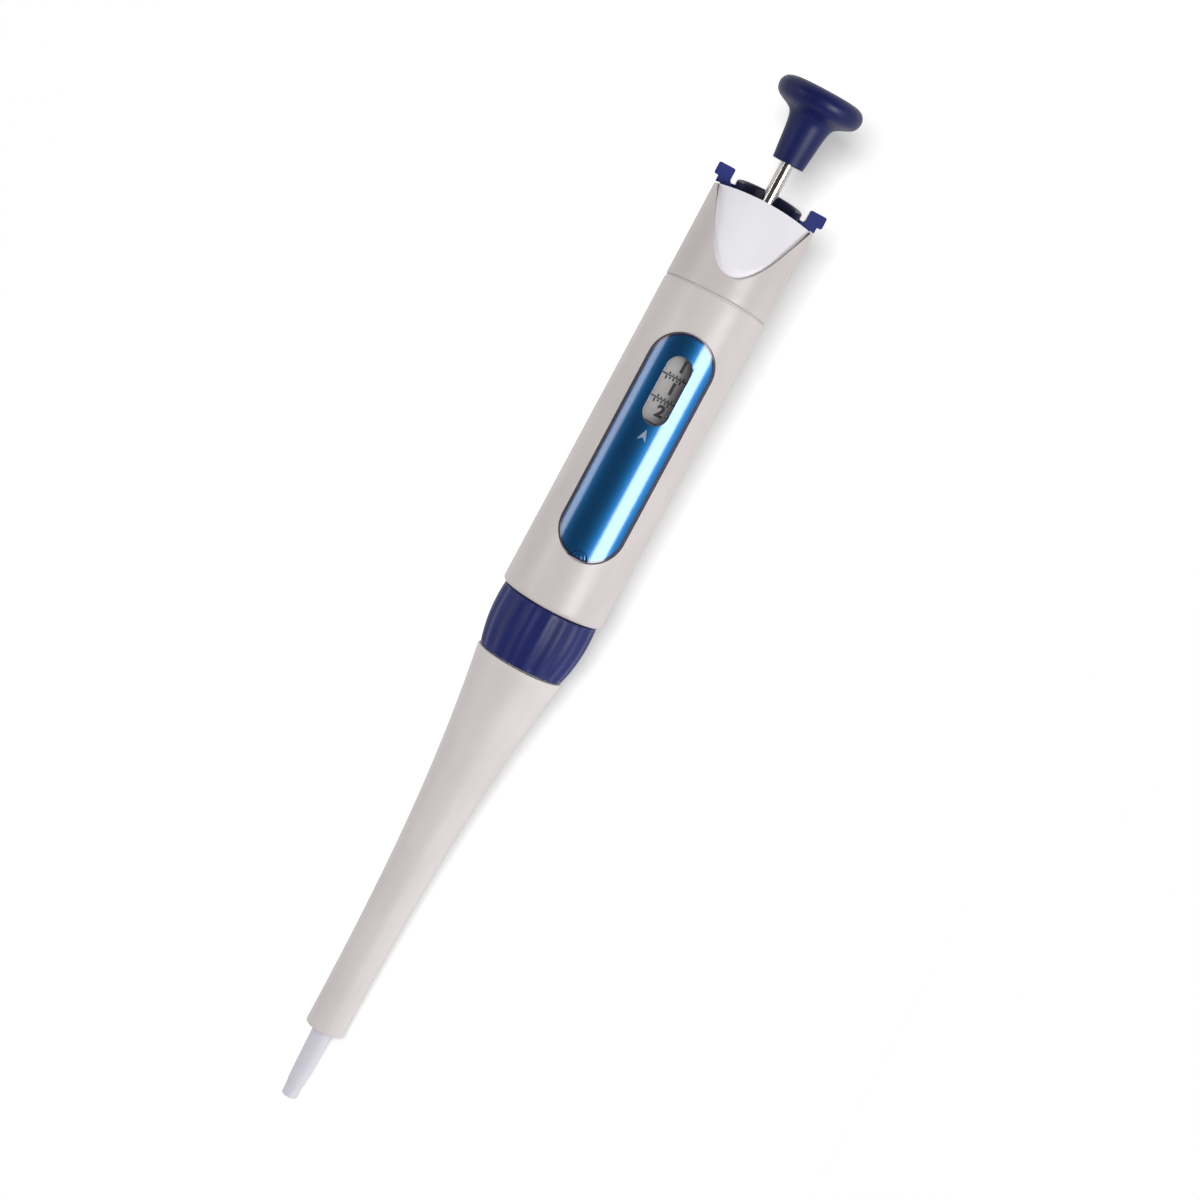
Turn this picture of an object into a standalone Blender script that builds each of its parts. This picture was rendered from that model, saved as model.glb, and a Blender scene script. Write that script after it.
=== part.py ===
"""An adjustable micropipette, 20 to 200 microlitres, as an assembly of separate pieces.

The axis of the pipette is +Z, with the knob up. The label and the thumb pad face -Y.
The origin is the centre of the nozzle's end. All sizes are in metres.
"""

from math import cos, pi, radians, sin, sqrt, tan

import bmesh
import bpy
from mathutils import Matrix, Vector

MM = 0.001
GAP = 0.3 * MM  # between pieces that rest on or pass each other
SEAL_CLEARANCE = 0.12 * MM  # between the piston and the soft seal
CUT_MARGIN = 2.0 * MM  # how far a cutter passes the wall that it cuts

# Metering
VOLUME_PER_TURN = 10.0  # cubic millimetres, which are microlitres
SET_VOLUME = 112.0
SPINDLE_PITCH = 0.65 * MM
BLOWOUT_STROKE = 2.5 * MM
EJECT_TRAVEL = 5.0 * MM
SET_STROKE = SET_VOLUME / VOLUME_PER_TURN * SPINDLE_PITCH
PISTON_RADIUS = sqrt(VOLUME_PER_TURN * MM**3 / (pi * SPINDLE_PITCH))

# Nozzle and tip cone
NOZZLE_BORE_RADIUS = 0.55 * MM
NOZZLE_END_RADIUS = 1.65 * MM
NOZZLE_ROUNDING = 0.4 * MM
NOZZLE_SHOWN = 17.1 * MM
NOZZLE_MOUTH_RADIUS = 2.35 * MM
CHAMBER_WALL = 0.6 * MM
CHAMBER_HEIGHT = 46.0 * MM
CHAMBER_CONE = 4.0 * MM
SEAL_HEIGHT = 75.5 * MM
SEAL_CORD_RADIUS = 0.65 * MM
SEAL_BORE_LENGTH = 9.0 * MM
RETAINER_LENGTH = 6.5 * MM
CONE_BODY_WALL = 1.0 * MM
CONE_BODY_HEIGHT = 94.0 * MM
CONE_STEP = 3.0 * MM
CONE_BODY_BORE_RADIUS = 4.6 * MM
CONE_IN_HANDLE = 5.7 * MM
BUSH_LENGTH = 6.0 * MM

# Ejector sleeve
SLEEVE_MOUTH_RADIUS = 4.4 * MM
SLEEVE_TOP_RADIUS = 10.1 * MM
SLEEVE_LENGTH = 91.7 * MM
SLEEVE_WALL = 1.1 * MM
SLEEVE_FLARE = 2.65
SLEEVE_STEPS = 9
SLEEVE_LIP = 0.5 * MM
NECK_LENGTH = 10.3 * MM
NECK_WALL = 1.0 * MM

# Knurled ring and hub
RING_HEIGHT = 14.5 * MM
RING_RADIUS = 11.15 * MM
RING_BULGE_DROP = 4.3 * MM
RING_BARREL = 0.0143 / MM
RING_WALL = 1.45 * MM
RING_LIP = 1.5 * MM
RING_FLUTES = 18
RING_FLUTE_DEPTH = 0.5 * MM
RING_FLUTE_TWIST = radians(6)
HUB_WALL = 1.3 * MM
HUB_FLANGE = 1.6 * MM
HUB_LENGTH = 12.0 * MM

# Handle
HANDLE_LENGTH = 74.1 * MM
HANDLE_BOTTOM_RADIUS = 11.8 * MM
HANDLE_RADIUS = 11.65 * MM
HANDLE_WALL = 1.5 * MM
HANDLE_FLOOR = 2.7 * MM
HANDLE_EDGE = 1.0 * MM
SEAM_TILT = radians(7)
CAP_WALL = 0.7 * MM
BRIDGE_SEAT_DEPTH = 4.0 * MM

# Label and window
LABEL_DROP = 9.4 * MM
LABEL_LENGTH = 52.4 * MM
LABEL_WIDTH = 14.0 * MM
LABEL_RECESS = 0.7 * MM
LABEL_THICKNESS = 0.75 * MM
NOTCH_WIDTH = 4.2 * MM
NOTCH_DEPTH = 2.1 * MM
WINDOW_DROP = 4.8 * MM
WINDOW_LENGTH = 15.6 * MM
WINDOW_WIDTH = 5.6 * MM
LENS_THICKNESS = 1.2 * MM

# Counter
DRUM_COUNT = 3
DRUM_RADIUS = 8.0 * MM
DRUM_BORE_RADIUS = 6.4 * MM
DRUM_TEETH = 20
DRUM_TOOTH = 0.4 * MM
DRUM_WEB = 0.9 * MM
COUNTER_FLANGE = 1.5 * MM
PINION_RADIUS = 1.25 * MM
PINION_TEETH = 8
PINION_TOOTH = 0.35 * MM
PINION_LENGTH = 3.0 * MM
PIN_RADIUS = 0.4 * MM

# Spindle, rod and stops
ROD_RADIUS = 1.5 * MM
ROD_IN_KNOB = 8.0 * MM
SPINDLE_WALL = 0.8 * MM
SPINDLE_BELOW_COUNTER = 8.5 * MM
SPINDLE_ABOVE_BRIDGE = 5.0 * MM
THREAD_DEPTH = 0.2 * MM
NUT_RADIUS = 4.5 * MM
NUT_FLANGE_RADIUS = 6.0 * MM
NUT_FLANGE = 1.5 * MM
NUT_LENGTH = 8.5 * MM
NUT_ABOVE_BRIDGE = 2.6 * MM
CALIBRATION_RADIUS = 5.9 * MM
CALIBRATION_HEIGHT = 2.0 * MM
BRIDGE_THICKNESS = 2.2 * MM
COLLAR_RADIUS = 5.8 * MM
COLLAR_HEIGHT = 2.0 * MM
BLOWOUT_PLATE_RADIUS = 7.2 * MM
BLOWOUT_PLATE = 1.5 * MM
HOUSING_WALL = 0.6 * MM
HOUSING_BASE = 1.2 * MM
HOUSING_LIP = 1.2 * MM
SOCKET_RADIUS = 7.8 * MM
SOCKET_HEIGHT = 7.4 * MM

# Springs: wire radius and number of turns
RETURN_WIRE = 0.4 * MM
RETURN_TURNS = 8
BLOWOUT_WIRE = 0.5 * MM
BLOWOUT_TURNS = 3
EJECTOR_WIRE = 0.35 * MM
EJECTOR_TURNS = 3
EJECTOR_SPRING_LENGTH = 7.7 * MM
SPRING_POINTS_PER_TURN = 14

# Ejector inside the handle
STRIP_THICKNESS = 0.9 * MM
STRIP_WIDTH = 4.0 * MM
YOKE_THICKNESS = 2.0 * MM
YOKE_HOLE_RADIUS = 5.6 * MM

# Cap, thumb pad and top
CAP_HEIGHT = 20.3 * MM
CROWN_RISE = 1.3 * MM
PAD_RISE = 4.6 * MM
PAD_SLOPE = radians(18.2)
PAD_THICKNESS = 1.2 * MM
PAD_FACE_RADIUS = 32.0 * MM
PAD_TUCK = 0.8 * MM
OPENING_STEPS = 9
PLATE_THICKNESS = 0.5 * MM
PLATE_SPIGOT = 1.6 * MM
PLATE_SPIGOT_WALL = 0.8 * MM
LUG_HEIGHT = 2.7 * MM
LUG_OUT = 12.7 * MM
LUG_IN = 8.9 * MM
LUG_NOTCH = 0.9 * MM
LUG_DEPTH = 7.0 * MM
LUG_FILLET = 0.9 * MM
LUG_CORNER = 0.4 * MM
NECK_COLLAR_RADIUS = 7.65 * MM
NECK_COLLAR_WALL = 1.5 * MM
NECK_COLLAR_RISE = 1.7 * MM
NECK_COLLAR_TILT = radians(8)
NECK_COLLAR_OPEN = 2.0 * MM

# Finger rest
REST_WIDTH = 13.0 * MM
REST_REACH = 28.3 * MM
REST_DROP = 12.5 * MM
REST_ARM = 3.6 * MM
REST_BASE = 2.2 * MM
REST_BASE_LENGTH = 14.5 * MM
REST_TIP = 5.6 * MM
REST_TIP_THICKNESS = 3.3 * MM
REST_ROUND = 1.3 * MM
REST_SCREW_RADIUS = 1.0 * MM
REST_SCREW_HEAD_RADIUS = 1.9 * MM
REST_SCREW_HEAD = 1.0 * MM
REST_SCREW_DEPTH = 3.2 * MM

# Knob
KNOB_LIFT = 10.4 * MM
KNOB_NECK_RADIUS = 3.55 * MM
KNOB_NECK_HEIGHT = 9.9 * MM
KNOB_NECK_FLARE = 1.25 * MM
KNOB_HEAD_RADIUS = 9.6 * MM
KNOB_HEAD_HEIGHT = 4.6 * MM
KNOB_SKIRT_HEIGHT = 2.4 * MM

# Heights that follow from the lengths above
Z_SLEEVE = NOZZLE_SHOWN
Z_RING = Z_SLEEVE + SLEEVE_LENGTH
Z_HANDLE = Z_RING + RING_HEIGHT
Z_FLOOR = Z_HANDLE + HANDLE_FLOOR
Z_SEAM = Z_HANDLE + HANDLE_LENGTH
Z_RIM = Z_SEAM + CAP_HEIGHT
Z_KNOB = Z_RIM + KNOB_LIFT
Z_LABEL_TOP = Z_SEAM - LABEL_DROP
Z_LABEL = Z_LABEL_TOP - LABEL_LENGTH
Z_WINDOW_TOP = Z_LABEL_TOP - WINDOW_DROP
Z_WINDOW = Z_WINDOW_TOP - WINDOW_LENGTH
DRUM_PITCH = (WINDOW_LENGTH + GAP) / DRUM_COUNT
Z_DRUMS_TOP = Z_WINDOW_TOP + GAP
Z_DRUMS = Z_DRUMS_TOP - DRUM_COUNT * DRUM_PITCH + GAP
Z_COUNTER_BASE = Z_DRUMS - GAP - COUNTER_FLANGE
Z_SOCKET = Z_FLOOR + GAP
Z_HOUSING = Z_SOCKET + SOCKET_HEIGHT + GAP
Z_SPRINGS = Z_HOUSING + HOUSING_BASE + GAP
Z_SPINDLE = Z_COUNTER_BASE - SPINDLE_BELOW_COUNTER
Z_COLLAR = Z_SPINDLE - GAP - COLLAR_HEIGHT
Z_BLOWOUT = Z_COLLAR - SET_STROKE - GAP - BLOWOUT_PLATE
Z_BRIDGE_SEAT = Z_SEAM - BRIDGE_SEAT_DEPTH
Z_BRIDGE = Z_BRIDGE_SEAT + GAP
Z_BRIDGE_TOP = Z_BRIDGE + BRIDGE_THICKNESS
Z_YOKE = Z_BRIDGE_TOP + 2 * GAP + EJECTOR_SPRING_LENGTH
Z_PAD = Z_SEAM + PAD_RISE
Z_REST = Z_RIM - REST_DROP
Z_REST_SCREW = Z_REST + REST_ARM / 2

# Radii that follow from the sizes above
HANDLE_BORE = HANDLE_RADIUS - HANDLE_WALL
CAP_BORE = HANDLE_RADIUS - CAP_WALL
INSIDE_CAP = CAP_BORE - GAP
INSIDE_HANDLE = HANDLE_BORE - GAP
CHAMBER_RADIUS = PISTON_RADIUS + GAP
CHAMBER_OUTSIDE = CHAMBER_RADIUS + CHAMBER_WALL
SEAL_INSIDE = PISTON_RADIUS + SEAL_CLEARANCE
SEAL_BORE = SEAL_INSIDE + 2 * SEAL_CORD_RADIUS + SEAL_CLEARANCE
SEAL_OUTSIDE = SEAL_BORE + CHAMBER_WALL
CONE_BODY_RADIUS = CONE_BODY_BORE_RADIUS + CONE_BODY_WALL
HUB_BORE = CONE_BODY_RADIUS + GAP
HUB_RADIUS = HUB_BORE + HUB_WALL
NECK_BORE = HUB_RADIUS + GAP
NECK_RADIUS = NECK_BORE + NECK_WALL
RING_BORE = NECK_RADIUS + GAP
ROD_HOLE = ROD_RADIUS + GAP
SPINDLE_RADIUS = ROD_HOLE + SPINDLE_WALL
SPINDLE_HOLE = SPINDLE_RADIUS + GAP
STRIP_X = DRUM_RADIUS + GAP + STRIP_THICKNESS / 2
STRIP_OUTSIDE = STRIP_X + STRIP_THICKNESS / 2
HUB_FLANGE_RADIUS = STRIP_OUTSIDE
RING_RECESS = HUB_FLANGE_RADIUS + GAP
HOUSING_BORE = BLOWOUT_PLATE_RADIUS + GAP
HOUSING_RADIUS = HOUSING_BORE + HOUSING_WALL
CORE_RADIUS = DRUM_BORE_RADIUS - GAP
PINION_Y = DRUM_BORE_RADIUS - GAP - PINION_RADIUS
RETURN_COIL = PISTON_RADIUS + 2 * GAP + RETURN_WIRE
RETURN_OUTSIDE = RETURN_COIL + RETURN_WIRE
BLOWOUT_COIL = HOUSING_BORE - GAP - BLOWOUT_WIRE
EJECTOR_COIL = CALIBRATION_RADIUS + 2 * GAP + EJECTOR_WIRE
CROWN_RADIUS = (HANDLE_RADIUS**2 + CROWN_RISE**2) / (2 * CROWN_RISE)
CROWN_Z = Z_RIM + CROWN_RISE - CROWN_RADIUS
PAD_TOP_Y = -INSIDE_CAP + (Z_RIM - Z_PAD) * tan(PAD_SLOPE)
NECK_COLLAR_HOLE = NECK_COLLAR_RADIUS - NECK_COLLAR_WALL
LUG_BOTTOM_Z = Z_RIM + GAP

STEPS_FINE = 40
STEPS = 32
STEPS_INNER = 24
STEPS_CROWN = 64

LIGHT_GREY = (0.62, 0.58, 0.57)
WARM_WHITE = (0.78, 0.77, 0.82)
NAVY = (0.02, 0.03, 0.15)
DARK_NAVY = (0.01, 0.01, 0.06)
BLUE = (0.03, 0.05, 0.30)
LABEL_BLUE = (0.0, 0.12, 0.35)
LILAC = (0.62, 0.60, 0.68)
STEEL = (0.60, 0.60, 0.62)
BRASS = (0.70, 0.52, 0.22)
CLEAR = (0.85, 0.88, 0.90)
DRUM_GREY = (0.55, 0.52, 0.50)
RUBBER = (0.02, 0.02, 0.02)
INNER_WHITE = (0.75, 0.75, 0.73)


def clear_scene():
    """Removes the objects that a new scene starts with."""
    for thing in list(bpy.data.objects):
        bpy.data.objects.remove(thing, do_unlink=True)


def material(name, colour, roughness=0.4, metallic=0.0):
    """A Principled material with one colour."""
    made = bpy.data.materials.new(name)
    made.use_nodes = True
    shader = made.node_tree.nodes["Principled BSDF"]
    shader.inputs["Base Color"].default_value = (*colour, 1.0)
    shader.inputs["Roughness"].default_value = roughness
    shader.inputs["Metallic"].default_value = metallic
    made.diffuse_color = (*colour, 1.0)
    return made


def new_object(name, bm, look=None):
    """An object with this bmesh as its mesh, its faces pointing out."""
    bmesh.ops.recalc_face_normals(bm, faces=bm.faces)
    mesh = bpy.data.meshes.new(name)
    bm.to_mesh(mesh)
    bm.free()
    mesh.shade_smooth()
    mesh.set_sharp_from_angle(angle=radians(30))
    thing = bpy.data.objects.new(name, mesh)
    bpy.context.scene.collection.objects.link(thing)
    if look:
        mesh.materials.append(look)
    return thing


def turned(name, outline, look=None, steps=STEPS_INNER, shaped=None):
    """A turned piece from an outline of (radius, height) points, which closes on itself.

    An outline that starts and ends on the axis makes a piece with no hole. shaped changes a point's
    radius by its angle: it takes (radius, angle, height) and gives the new radius.
    """
    bm = bmesh.new()
    points = [bm.verts.new((r, 0.0, z)) for r, z in outline]
    edges = [bm.edges.new(pair) for pair in zip(points, points[1:])]
    if outline[0][0] > 0.0 or outline[-1][0] > 0.0:
        edges.append(bm.edges.new((points[-1], points[0])))
    bmesh.ops.spin(
        bm, geom=points + edges, cent=(0, 0, 0), axis=(0, 0, 1), angle=2 * pi, steps=steps, use_merge=True
    )
    bmesh.ops.remove_doubles(bm, verts=bm.verts, dist=1e-7)
    if shaped:
        for v in bm.verts:
            radius = v.co.xy.length
            if radius > 0.0:
                v.co.xy *= shaped(radius, Vector((1, 0)).angle_signed(v.co.xy, 0.0), v.co.z) / radius
    return new_object(name, bm, look)


def tube(name, outer, inner, low, high, look=None, steps=STEPS_INNER):
    """A plain ring or tube."""
    return turned(name, [(outer, high), (outer, low), (inner, low), (inner, high)], look, steps)


def disc(name, radius, low, high, look=None, steps=STEPS_INNER):
    """A plain solid disc or shaft on the axis."""
    return turned(name, [(0, high), (radius, high), (radius, low), (0, low)], look, steps)


def extruded(name, outline, to_world, depth, look=None):
    """A flat outline of (u, v) points, extruded by depth along w and placed by the matrix to_world."""
    bm = bmesh.new()
    face = bm.faces.new([bm.verts.new((u, v, -depth / 2)) for u, v in outline])
    extra = bmesh.ops.extrude_face_region(bm, geom=[face])
    moved = [g for g in extra["geom"] if isinstance(g, bmesh.types.BMVert)]
    bmesh.ops.translate(bm, verts=moved, vec=(0, 0, depth))
    bmesh.ops.transform(bm, matrix=to_world, verts=bm.verts)
    return new_object(name, bm, look)


def facing_front(x, y, z):
    """Places an outline drawn in X and Z, with its extrusion along Y, at a point."""
    axes = Matrix(((1, 0, 0), (0, 0, -1), (0, 1, 0))).to_4x4()
    return Matrix.Translation((x, y, z)) @ axes


def facing_side(x, y, z):
    """Places an outline drawn in Y and Z, with its extrusion along X, at a point."""
    axes = Matrix(((0, 0, 1), (1, 0, 0), (0, 1, 0))).to_4x4()
    return Matrix.Translation((x, y, z)) @ axes


def block(name, low, high, look=None):
    """A box between two corners."""
    bm = bmesh.new()
    bmesh.ops.create_cube(bm, size=1.0)
    size = [b - a for a, b in zip(low, high)]
    middle = [(a + b) / 2 for a, b in zip(low, high)]
    bmesh.ops.scale(bm, vec=size, verts=bm.verts)
    bmesh.ops.translate(bm, vec=middle, verts=bm.verts)
    return new_object(name, bm, look)


def arc(centre, radius, start, end, steps):
    """Points of an arc in degrees, ends included."""
    angles = [radians(start + (end - start) * i / steps) for i in range(steps + 1)]
    return [(centre[0] + radius * cos(a), centre[1] + radius * sin(a)) for a in angles]


def stadium(width, low, high, steps=10):
    """The outline of a slot with round ends, in X and Z."""
    r = width / 2
    return arc((0, high - r), r, 0, 180, steps) + arc((0, low + r), r, 180, 360, steps)


def with_cutter(thing, cutter, operation="DIFFERENCE"):
    """Cuts, joins or trims a piece by a guide shape, which stays out of the model."""
    cutter.hide_render = True
    cutter.display_type = "WIRE"
    step = thing.modifiers.new(operation.title(), "BOOLEAN")
    step.operation = operation
    step.object = cutter
    step.solver = "EXACT"
    return thing


def strip_slots(thing, low, high):
    """Cuts the two side slots that the ejector strips pass through."""
    half = STRIP_WIDTH / 2 + GAP
    for side in (-1, 1):
        near = side * (STRIP_X - STRIP_THICKNESS / 2 - GAP)
        far = side * (STRIP_OUTSIDE + GAP + CUT_MARGIN)
        cutter = block(
            f"{thing.name}_slot_{'left' if side < 0 else 'right'}",
            (min(near, far), -half, low - CUT_MARGIN),
            (max(near, far), half, high + CUT_MARGIN),
        )
        with_cutter(thing, cutter)
    return thing


def crown_cylinder(name, rise):
    """The guide under the crown of the cap's top: a wide roller along Y, raised by rise."""
    roller = turned(
        name,
        [
            (0, 2 * HANDLE_RADIUS),
            (CROWN_RADIUS + rise, 2 * HANDLE_RADIUS),
            (CROWN_RADIUS + rise, -2 * HANDLE_RADIUS),
            (0, -2 * HANDLE_RADIUS),
        ],
        steps=STEPS_CROWN * 2,
    )
    roller.data.transform(Matrix.Translation((0, 0, CROWN_Z)) @ Matrix.Rotation(pi / 2, 4, "X"))
    return roller


def above_seam(name, clearance):
    """A guide block whose underside is the sloping seam between the handle and the cap."""
    half = HANDLE_RADIUS + CUT_MARGIN
    drop = tan(SEAM_TILT)
    low_front, low_back = CUT_MARGIN * drop, -(2 * HANDLE_RADIUS + CUT_MARGIN) * drop
    top = CAP_HEIGHT + CROWN_RISE + 2 * CUT_MARGIN
    outline = [(-half, low_front), (half, low_back), (half, top), (-half, top)]
    return extruded(name, outline, facing_side(0, 0, Z_SEAM + clearance), 2 * half)


def sleeve_radius(z):
    """The sleeve's outer radius at a height."""
    share = (z - Z_SLEEVE) / SLEEVE_LENGTH
    return SLEEVE_MOUTH_RADIUS + (SLEEVE_TOP_RADIUS - SLEEVE_MOUTH_RADIUS) * share**SLEEVE_FLARE


def coil(name, radius, wire, low, high, turns, look):
    """A compression spring with closed ends: a wire round a helix whose first and last turns lie flat."""
    count = turns * SPRING_POINTS_PER_TURN
    curve = bpy.data.curves.new(name, "CURVE")
    curve.dimensions = "3D"
    curve.bevel_depth = wire
    curve.bevel_resolution = 1
    curve.use_fill_caps = True
    curve.twist_mode = "Z_UP"
    line = curve.splines.new("POLY")
    line.points.add(count)
    first, rise = low + wire, high - low - 2 * wire
    for i, point in enumerate(line.points):
        turn = i / SPRING_POINTS_PER_TURN
        open_turns = turns - 2 + 2 * wire / rise * turns
        climb = min(max((turn - 1) / open_turns, 0.0), 1.0)
        climb = climb * (1 - 4 * wire / rise) + 2 * wire / rise * (min(turn, 1) + max(turn - turns + 1, 0))
        angle = 2 * pi * turn
        point.co = (radius * cos(angle), radius * sin(angle), first + rise * min(climb, 1.0), 1.0)
    curve.materials.append(look)
    thing = bpy.data.objects.new(name, curve)
    bpy.context.scene.collection.objects.link(thing)
    return thing


def build_tip_cone(look):
    """The nozzle and, in one piece with it, the chamber, the seal's bore and the body in the handle."""
    bend = arc((NOZZLE_END_RADIUS - NOZZLE_ROUNDING, NOZZLE_ROUNDING), NOZZLE_ROUNDING, 0, -90, 3)
    top = Z_FLOOR + CONE_IN_HANDLE
    outline = [
        (CONE_BODY_RADIUS, top),
        (CONE_BODY_RADIUS, CONE_BODY_HEIGHT),
        (SEAL_OUTSIDE, CONE_BODY_HEIGHT - CONE_STEP),
        (SEAL_OUTSIDE, SEAL_HEIGHT - GAP),
        (CHAMBER_OUTSIDE, SEAL_HEIGHT - CONE_STEP),
        (CHAMBER_OUTSIDE, CHAMBER_HEIGHT - CHAMBER_CONE),
        (NOZZLE_MOUTH_RADIUS, NOZZLE_SHOWN + GAP),
        *bend,
        (NOZZLE_BORE_RADIUS, 0),
        (NOZZLE_BORE_RADIUS, CHAMBER_HEIGHT - CHAMBER_CONE),
        (CHAMBER_RADIUS, CHAMBER_HEIGHT),
        (CHAMBER_RADIUS, SEAL_HEIGHT),
        (SEAL_BORE, SEAL_HEIGHT),
        (SEAL_BORE, SEAL_HEIGHT + SEAL_BORE_LENGTH),
        (CONE_BODY_BORE_RADIUS, CONE_BODY_HEIGHT),
        (CONE_BODY_BORE_RADIUS, top),
    ]
    return turned("tip_cone", outline, look, STEPS_INNER)


def build_seal(rubber, plastic, brass):
    """The piston's O-ring, the ring that holds it down, and the bush that guides the piston."""
    low = SEAL_HEIGHT + GAP
    middle = (SEAL_INSIDE + SEAL_CORD_RADIUS, low + SEAL_CORD_RADIUS)
    turned("piston_seal", arc(middle, SEAL_CORD_RADIUS, 0, -315, 7), rubber)
    held = low + 2 * SEAL_CORD_RADIUS + GAP
    tube("seal_retainer", SEAL_BORE - GAP, CHAMBER_RADIUS, held, held + RETAINER_LENGTH, plastic)
    top = Z_FLOOR + CONE_IN_HANDLE
    tube("piston_bush", CONE_BODY_BORE_RADIUS - GAP, CHAMBER_RADIUS, top - BUSH_LENGTH, top, brass)


def build_sleeve(look):
    """The tapered ejector sleeve, with the threaded neck that turns in the knurled ring."""
    heights = [Z_SLEEVE + SLEEVE_LENGTH * (1 - i / SLEEVE_STEPS) for i in range(SLEEVE_STEPS)]
    outside = [(sleeve_radius(z), z) for z in heights]
    mouth = [
        (SLEEVE_MOUTH_RADIUS, Z_SLEEVE + SLEEVE_LIP),
        (SLEEVE_MOUTH_RADIUS - SLEEVE_LIP, Z_SLEEVE),
        (SLEEVE_MOUTH_RADIUS - SLEEVE_WALL, Z_SLEEVE),
    ]
    walls = [(sleeve_radius(z) - SLEEVE_WALL, z) for z in reversed(heights)]
    inside = [(r, z) for r, z in walls if r < NECK_BORE]
    shoulder = Z_RING - SLEEVE_WALL
    neck = [
        (NECK_BORE, shoulder),
        (NECK_BORE, Z_RING + NECK_LENGTH),
        (NECK_RADIUS, Z_RING + NECK_LENGTH),
        (NECK_RADIUS, Z_RING),
    ]
    outline = neck[3:] + outside + mouth + inside + neck[:3]
    return turned("ejector_sleeve", outline, look, STEPS)


def ring_outside(z):
    """The knurled ring's outer radius at a height: a barrel, fullest near its top."""
    return RING_RADIUS - RING_BARREL * (z - (Z_HANDLE - RING_BULGE_DROP)) ** 2


def build_ring(look):
    """The knurled ring, which hangs on the hub's flange by its inner lip."""
    low, high = Z_RING + GAP, Z_HANDLE - GAP
    lip = high - HUB_FLANGE - GAP
    outside = [(ring_outside(z), z) for z in (high - (high - low) * i / 6 for i in range(7))]
    inside = [
        (RING_BORE, low),
        (RING_BORE, lip - RING_LIP),
        (HUB_RADIUS + GAP, lip - RING_LIP),
        (HUB_RADIUS + GAP, lip),
        (RING_RECESS, lip),
        (RING_RECESS, high),
    ]

    def fluted(radius, angle, z):
        if radius < RING_RECESS + GAP and radius < ring_outside(z) - GAP:
            return radius
        turn = RING_FLUTES * (angle + RING_FLUTE_TWIST * (z - low) / (high - low))
        return radius - RING_FLUTE_DEPTH * (0.5 - 0.5 * cos(turn))

    return turned("adjust_ring", outside + inside, look, RING_FLUTES * 4, fluted)


def build_handle(look):
    """The handle's shell: floor, label recess, window, and the seat of the bridge at its top."""
    top = Z_SEAM + CUT_MARGIN
    edge = arc((HANDLE_BOTTOM_RADIUS - HANDLE_EDGE, Z_HANDLE + HANDLE_EDGE), HANDLE_EDGE, 0, -90, 3)
    outline = [
        (HANDLE_RADIUS, top),
        *edge,
        (CONE_BODY_RADIUS + GAP, Z_HANDLE),
        (CONE_BODY_RADIUS + GAP, Z_FLOOR),
        (HANDLE_BORE, Z_FLOOR),
        (HANDLE_BORE, Z_BRIDGE_SEAT),
        (CAP_BORE, Z_BRIDGE_SEAT),
        (CAP_BORE, top),
    ]
    shell = turned("handle_shell", outline, look, STEPS_FINE)
    with_cutter(shell, above_seam("handle_seam_guide", 0.0))
    floor_of_recess = HANDLE_RADIUS - LABEL_RECESS
    band = tube(
        "label_recess_guide",
        HANDLE_BOTTOM_RADIUS + CUT_MARGIN,
        floor_of_recess,
        Z_LABEL - CUT_MARGIN,
        Z_LABEL_TOP + CUT_MARGIN,
        steps=STEPS_FINE,
    )
    outline = stadium(LABEL_WIDTH + 2 * GAP, Z_LABEL - GAP, Z_LABEL_TOP + GAP)
    with_cutter(band, front_prism("label_recess_outline", outline), "INTERSECT")
    with_cutter(shell, band)
    window = stadium(WINDOW_WIDTH, Z_WINDOW, Z_WINDOW_TOP)
    with_cutter(shell, front_prism("window_guide", window))
    return strip_slots(shell, Z_HANDLE, Z_FLOOR)


def front_prism(name, outline):
    """A prism through the front wall, from the axis to beyond the surface."""
    reach = HANDLE_BOTTOM_RADIUS + 2 * CUT_MARGIN
    start = DRUM_RADIUS / 2
    return extruded(name, outline, facing_front(0, -(start + reach) / 2, 0), reach - start)


def build_label(look):
    """The curved label plate, with its window opening and the nail notch at its lower end."""
    inner = HANDLE_RADIUS - LABEL_RECESS + GAP
    low, high = Z_LABEL - CUT_MARGIN, Z_LABEL_TOP + CUT_MARGIN
    plate = tube("label_plate", inner + LABEL_THICKNESS, inner, low, high, look, STEPS_FINE)
    with_cutter(plate, front_prism("label_outline", stadium(LABEL_WIDTH, Z_LABEL, Z_LABEL_TOP)), "INTERSECT")
    window = stadium(WINDOW_WIDTH, Z_WINDOW, Z_WINDOW_TOP)
    with_cutter(plate, front_prism("label_window_guide", window))
    notch = arc((0, Z_LABEL), NOTCH_WIDTH / 2, 0, 180, 8) + [(-NOTCH_WIDTH / 2, Z_LABEL - CUT_MARGIN)]
    notch += [(NOTCH_WIDTH / 2, Z_LABEL - CUT_MARGIN)]
    return with_cutter(plate, front_prism("nail_notch_guide", notch))


def build_lens(look):
    """The clear window over the drums, set in the handle's wall."""
    outer = HANDLE_RADIUS - LABEL_RECESS
    lens = tube(
        "window_lens",
        outer,
        outer - LENS_THICKNESS,
        Z_WINDOW - CUT_MARGIN,
        Z_WINDOW_TOP + CUT_MARGIN,
        look,
        STEPS_FINE,
    )
    outline = stadium(WINDOW_WIDTH - 2 * GAP, Z_WINDOW + GAP, Z_WINDOW_TOP - GAP)
    return with_cutter(lens, front_prism("lens_outline", outline), "INTERSECT")


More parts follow.
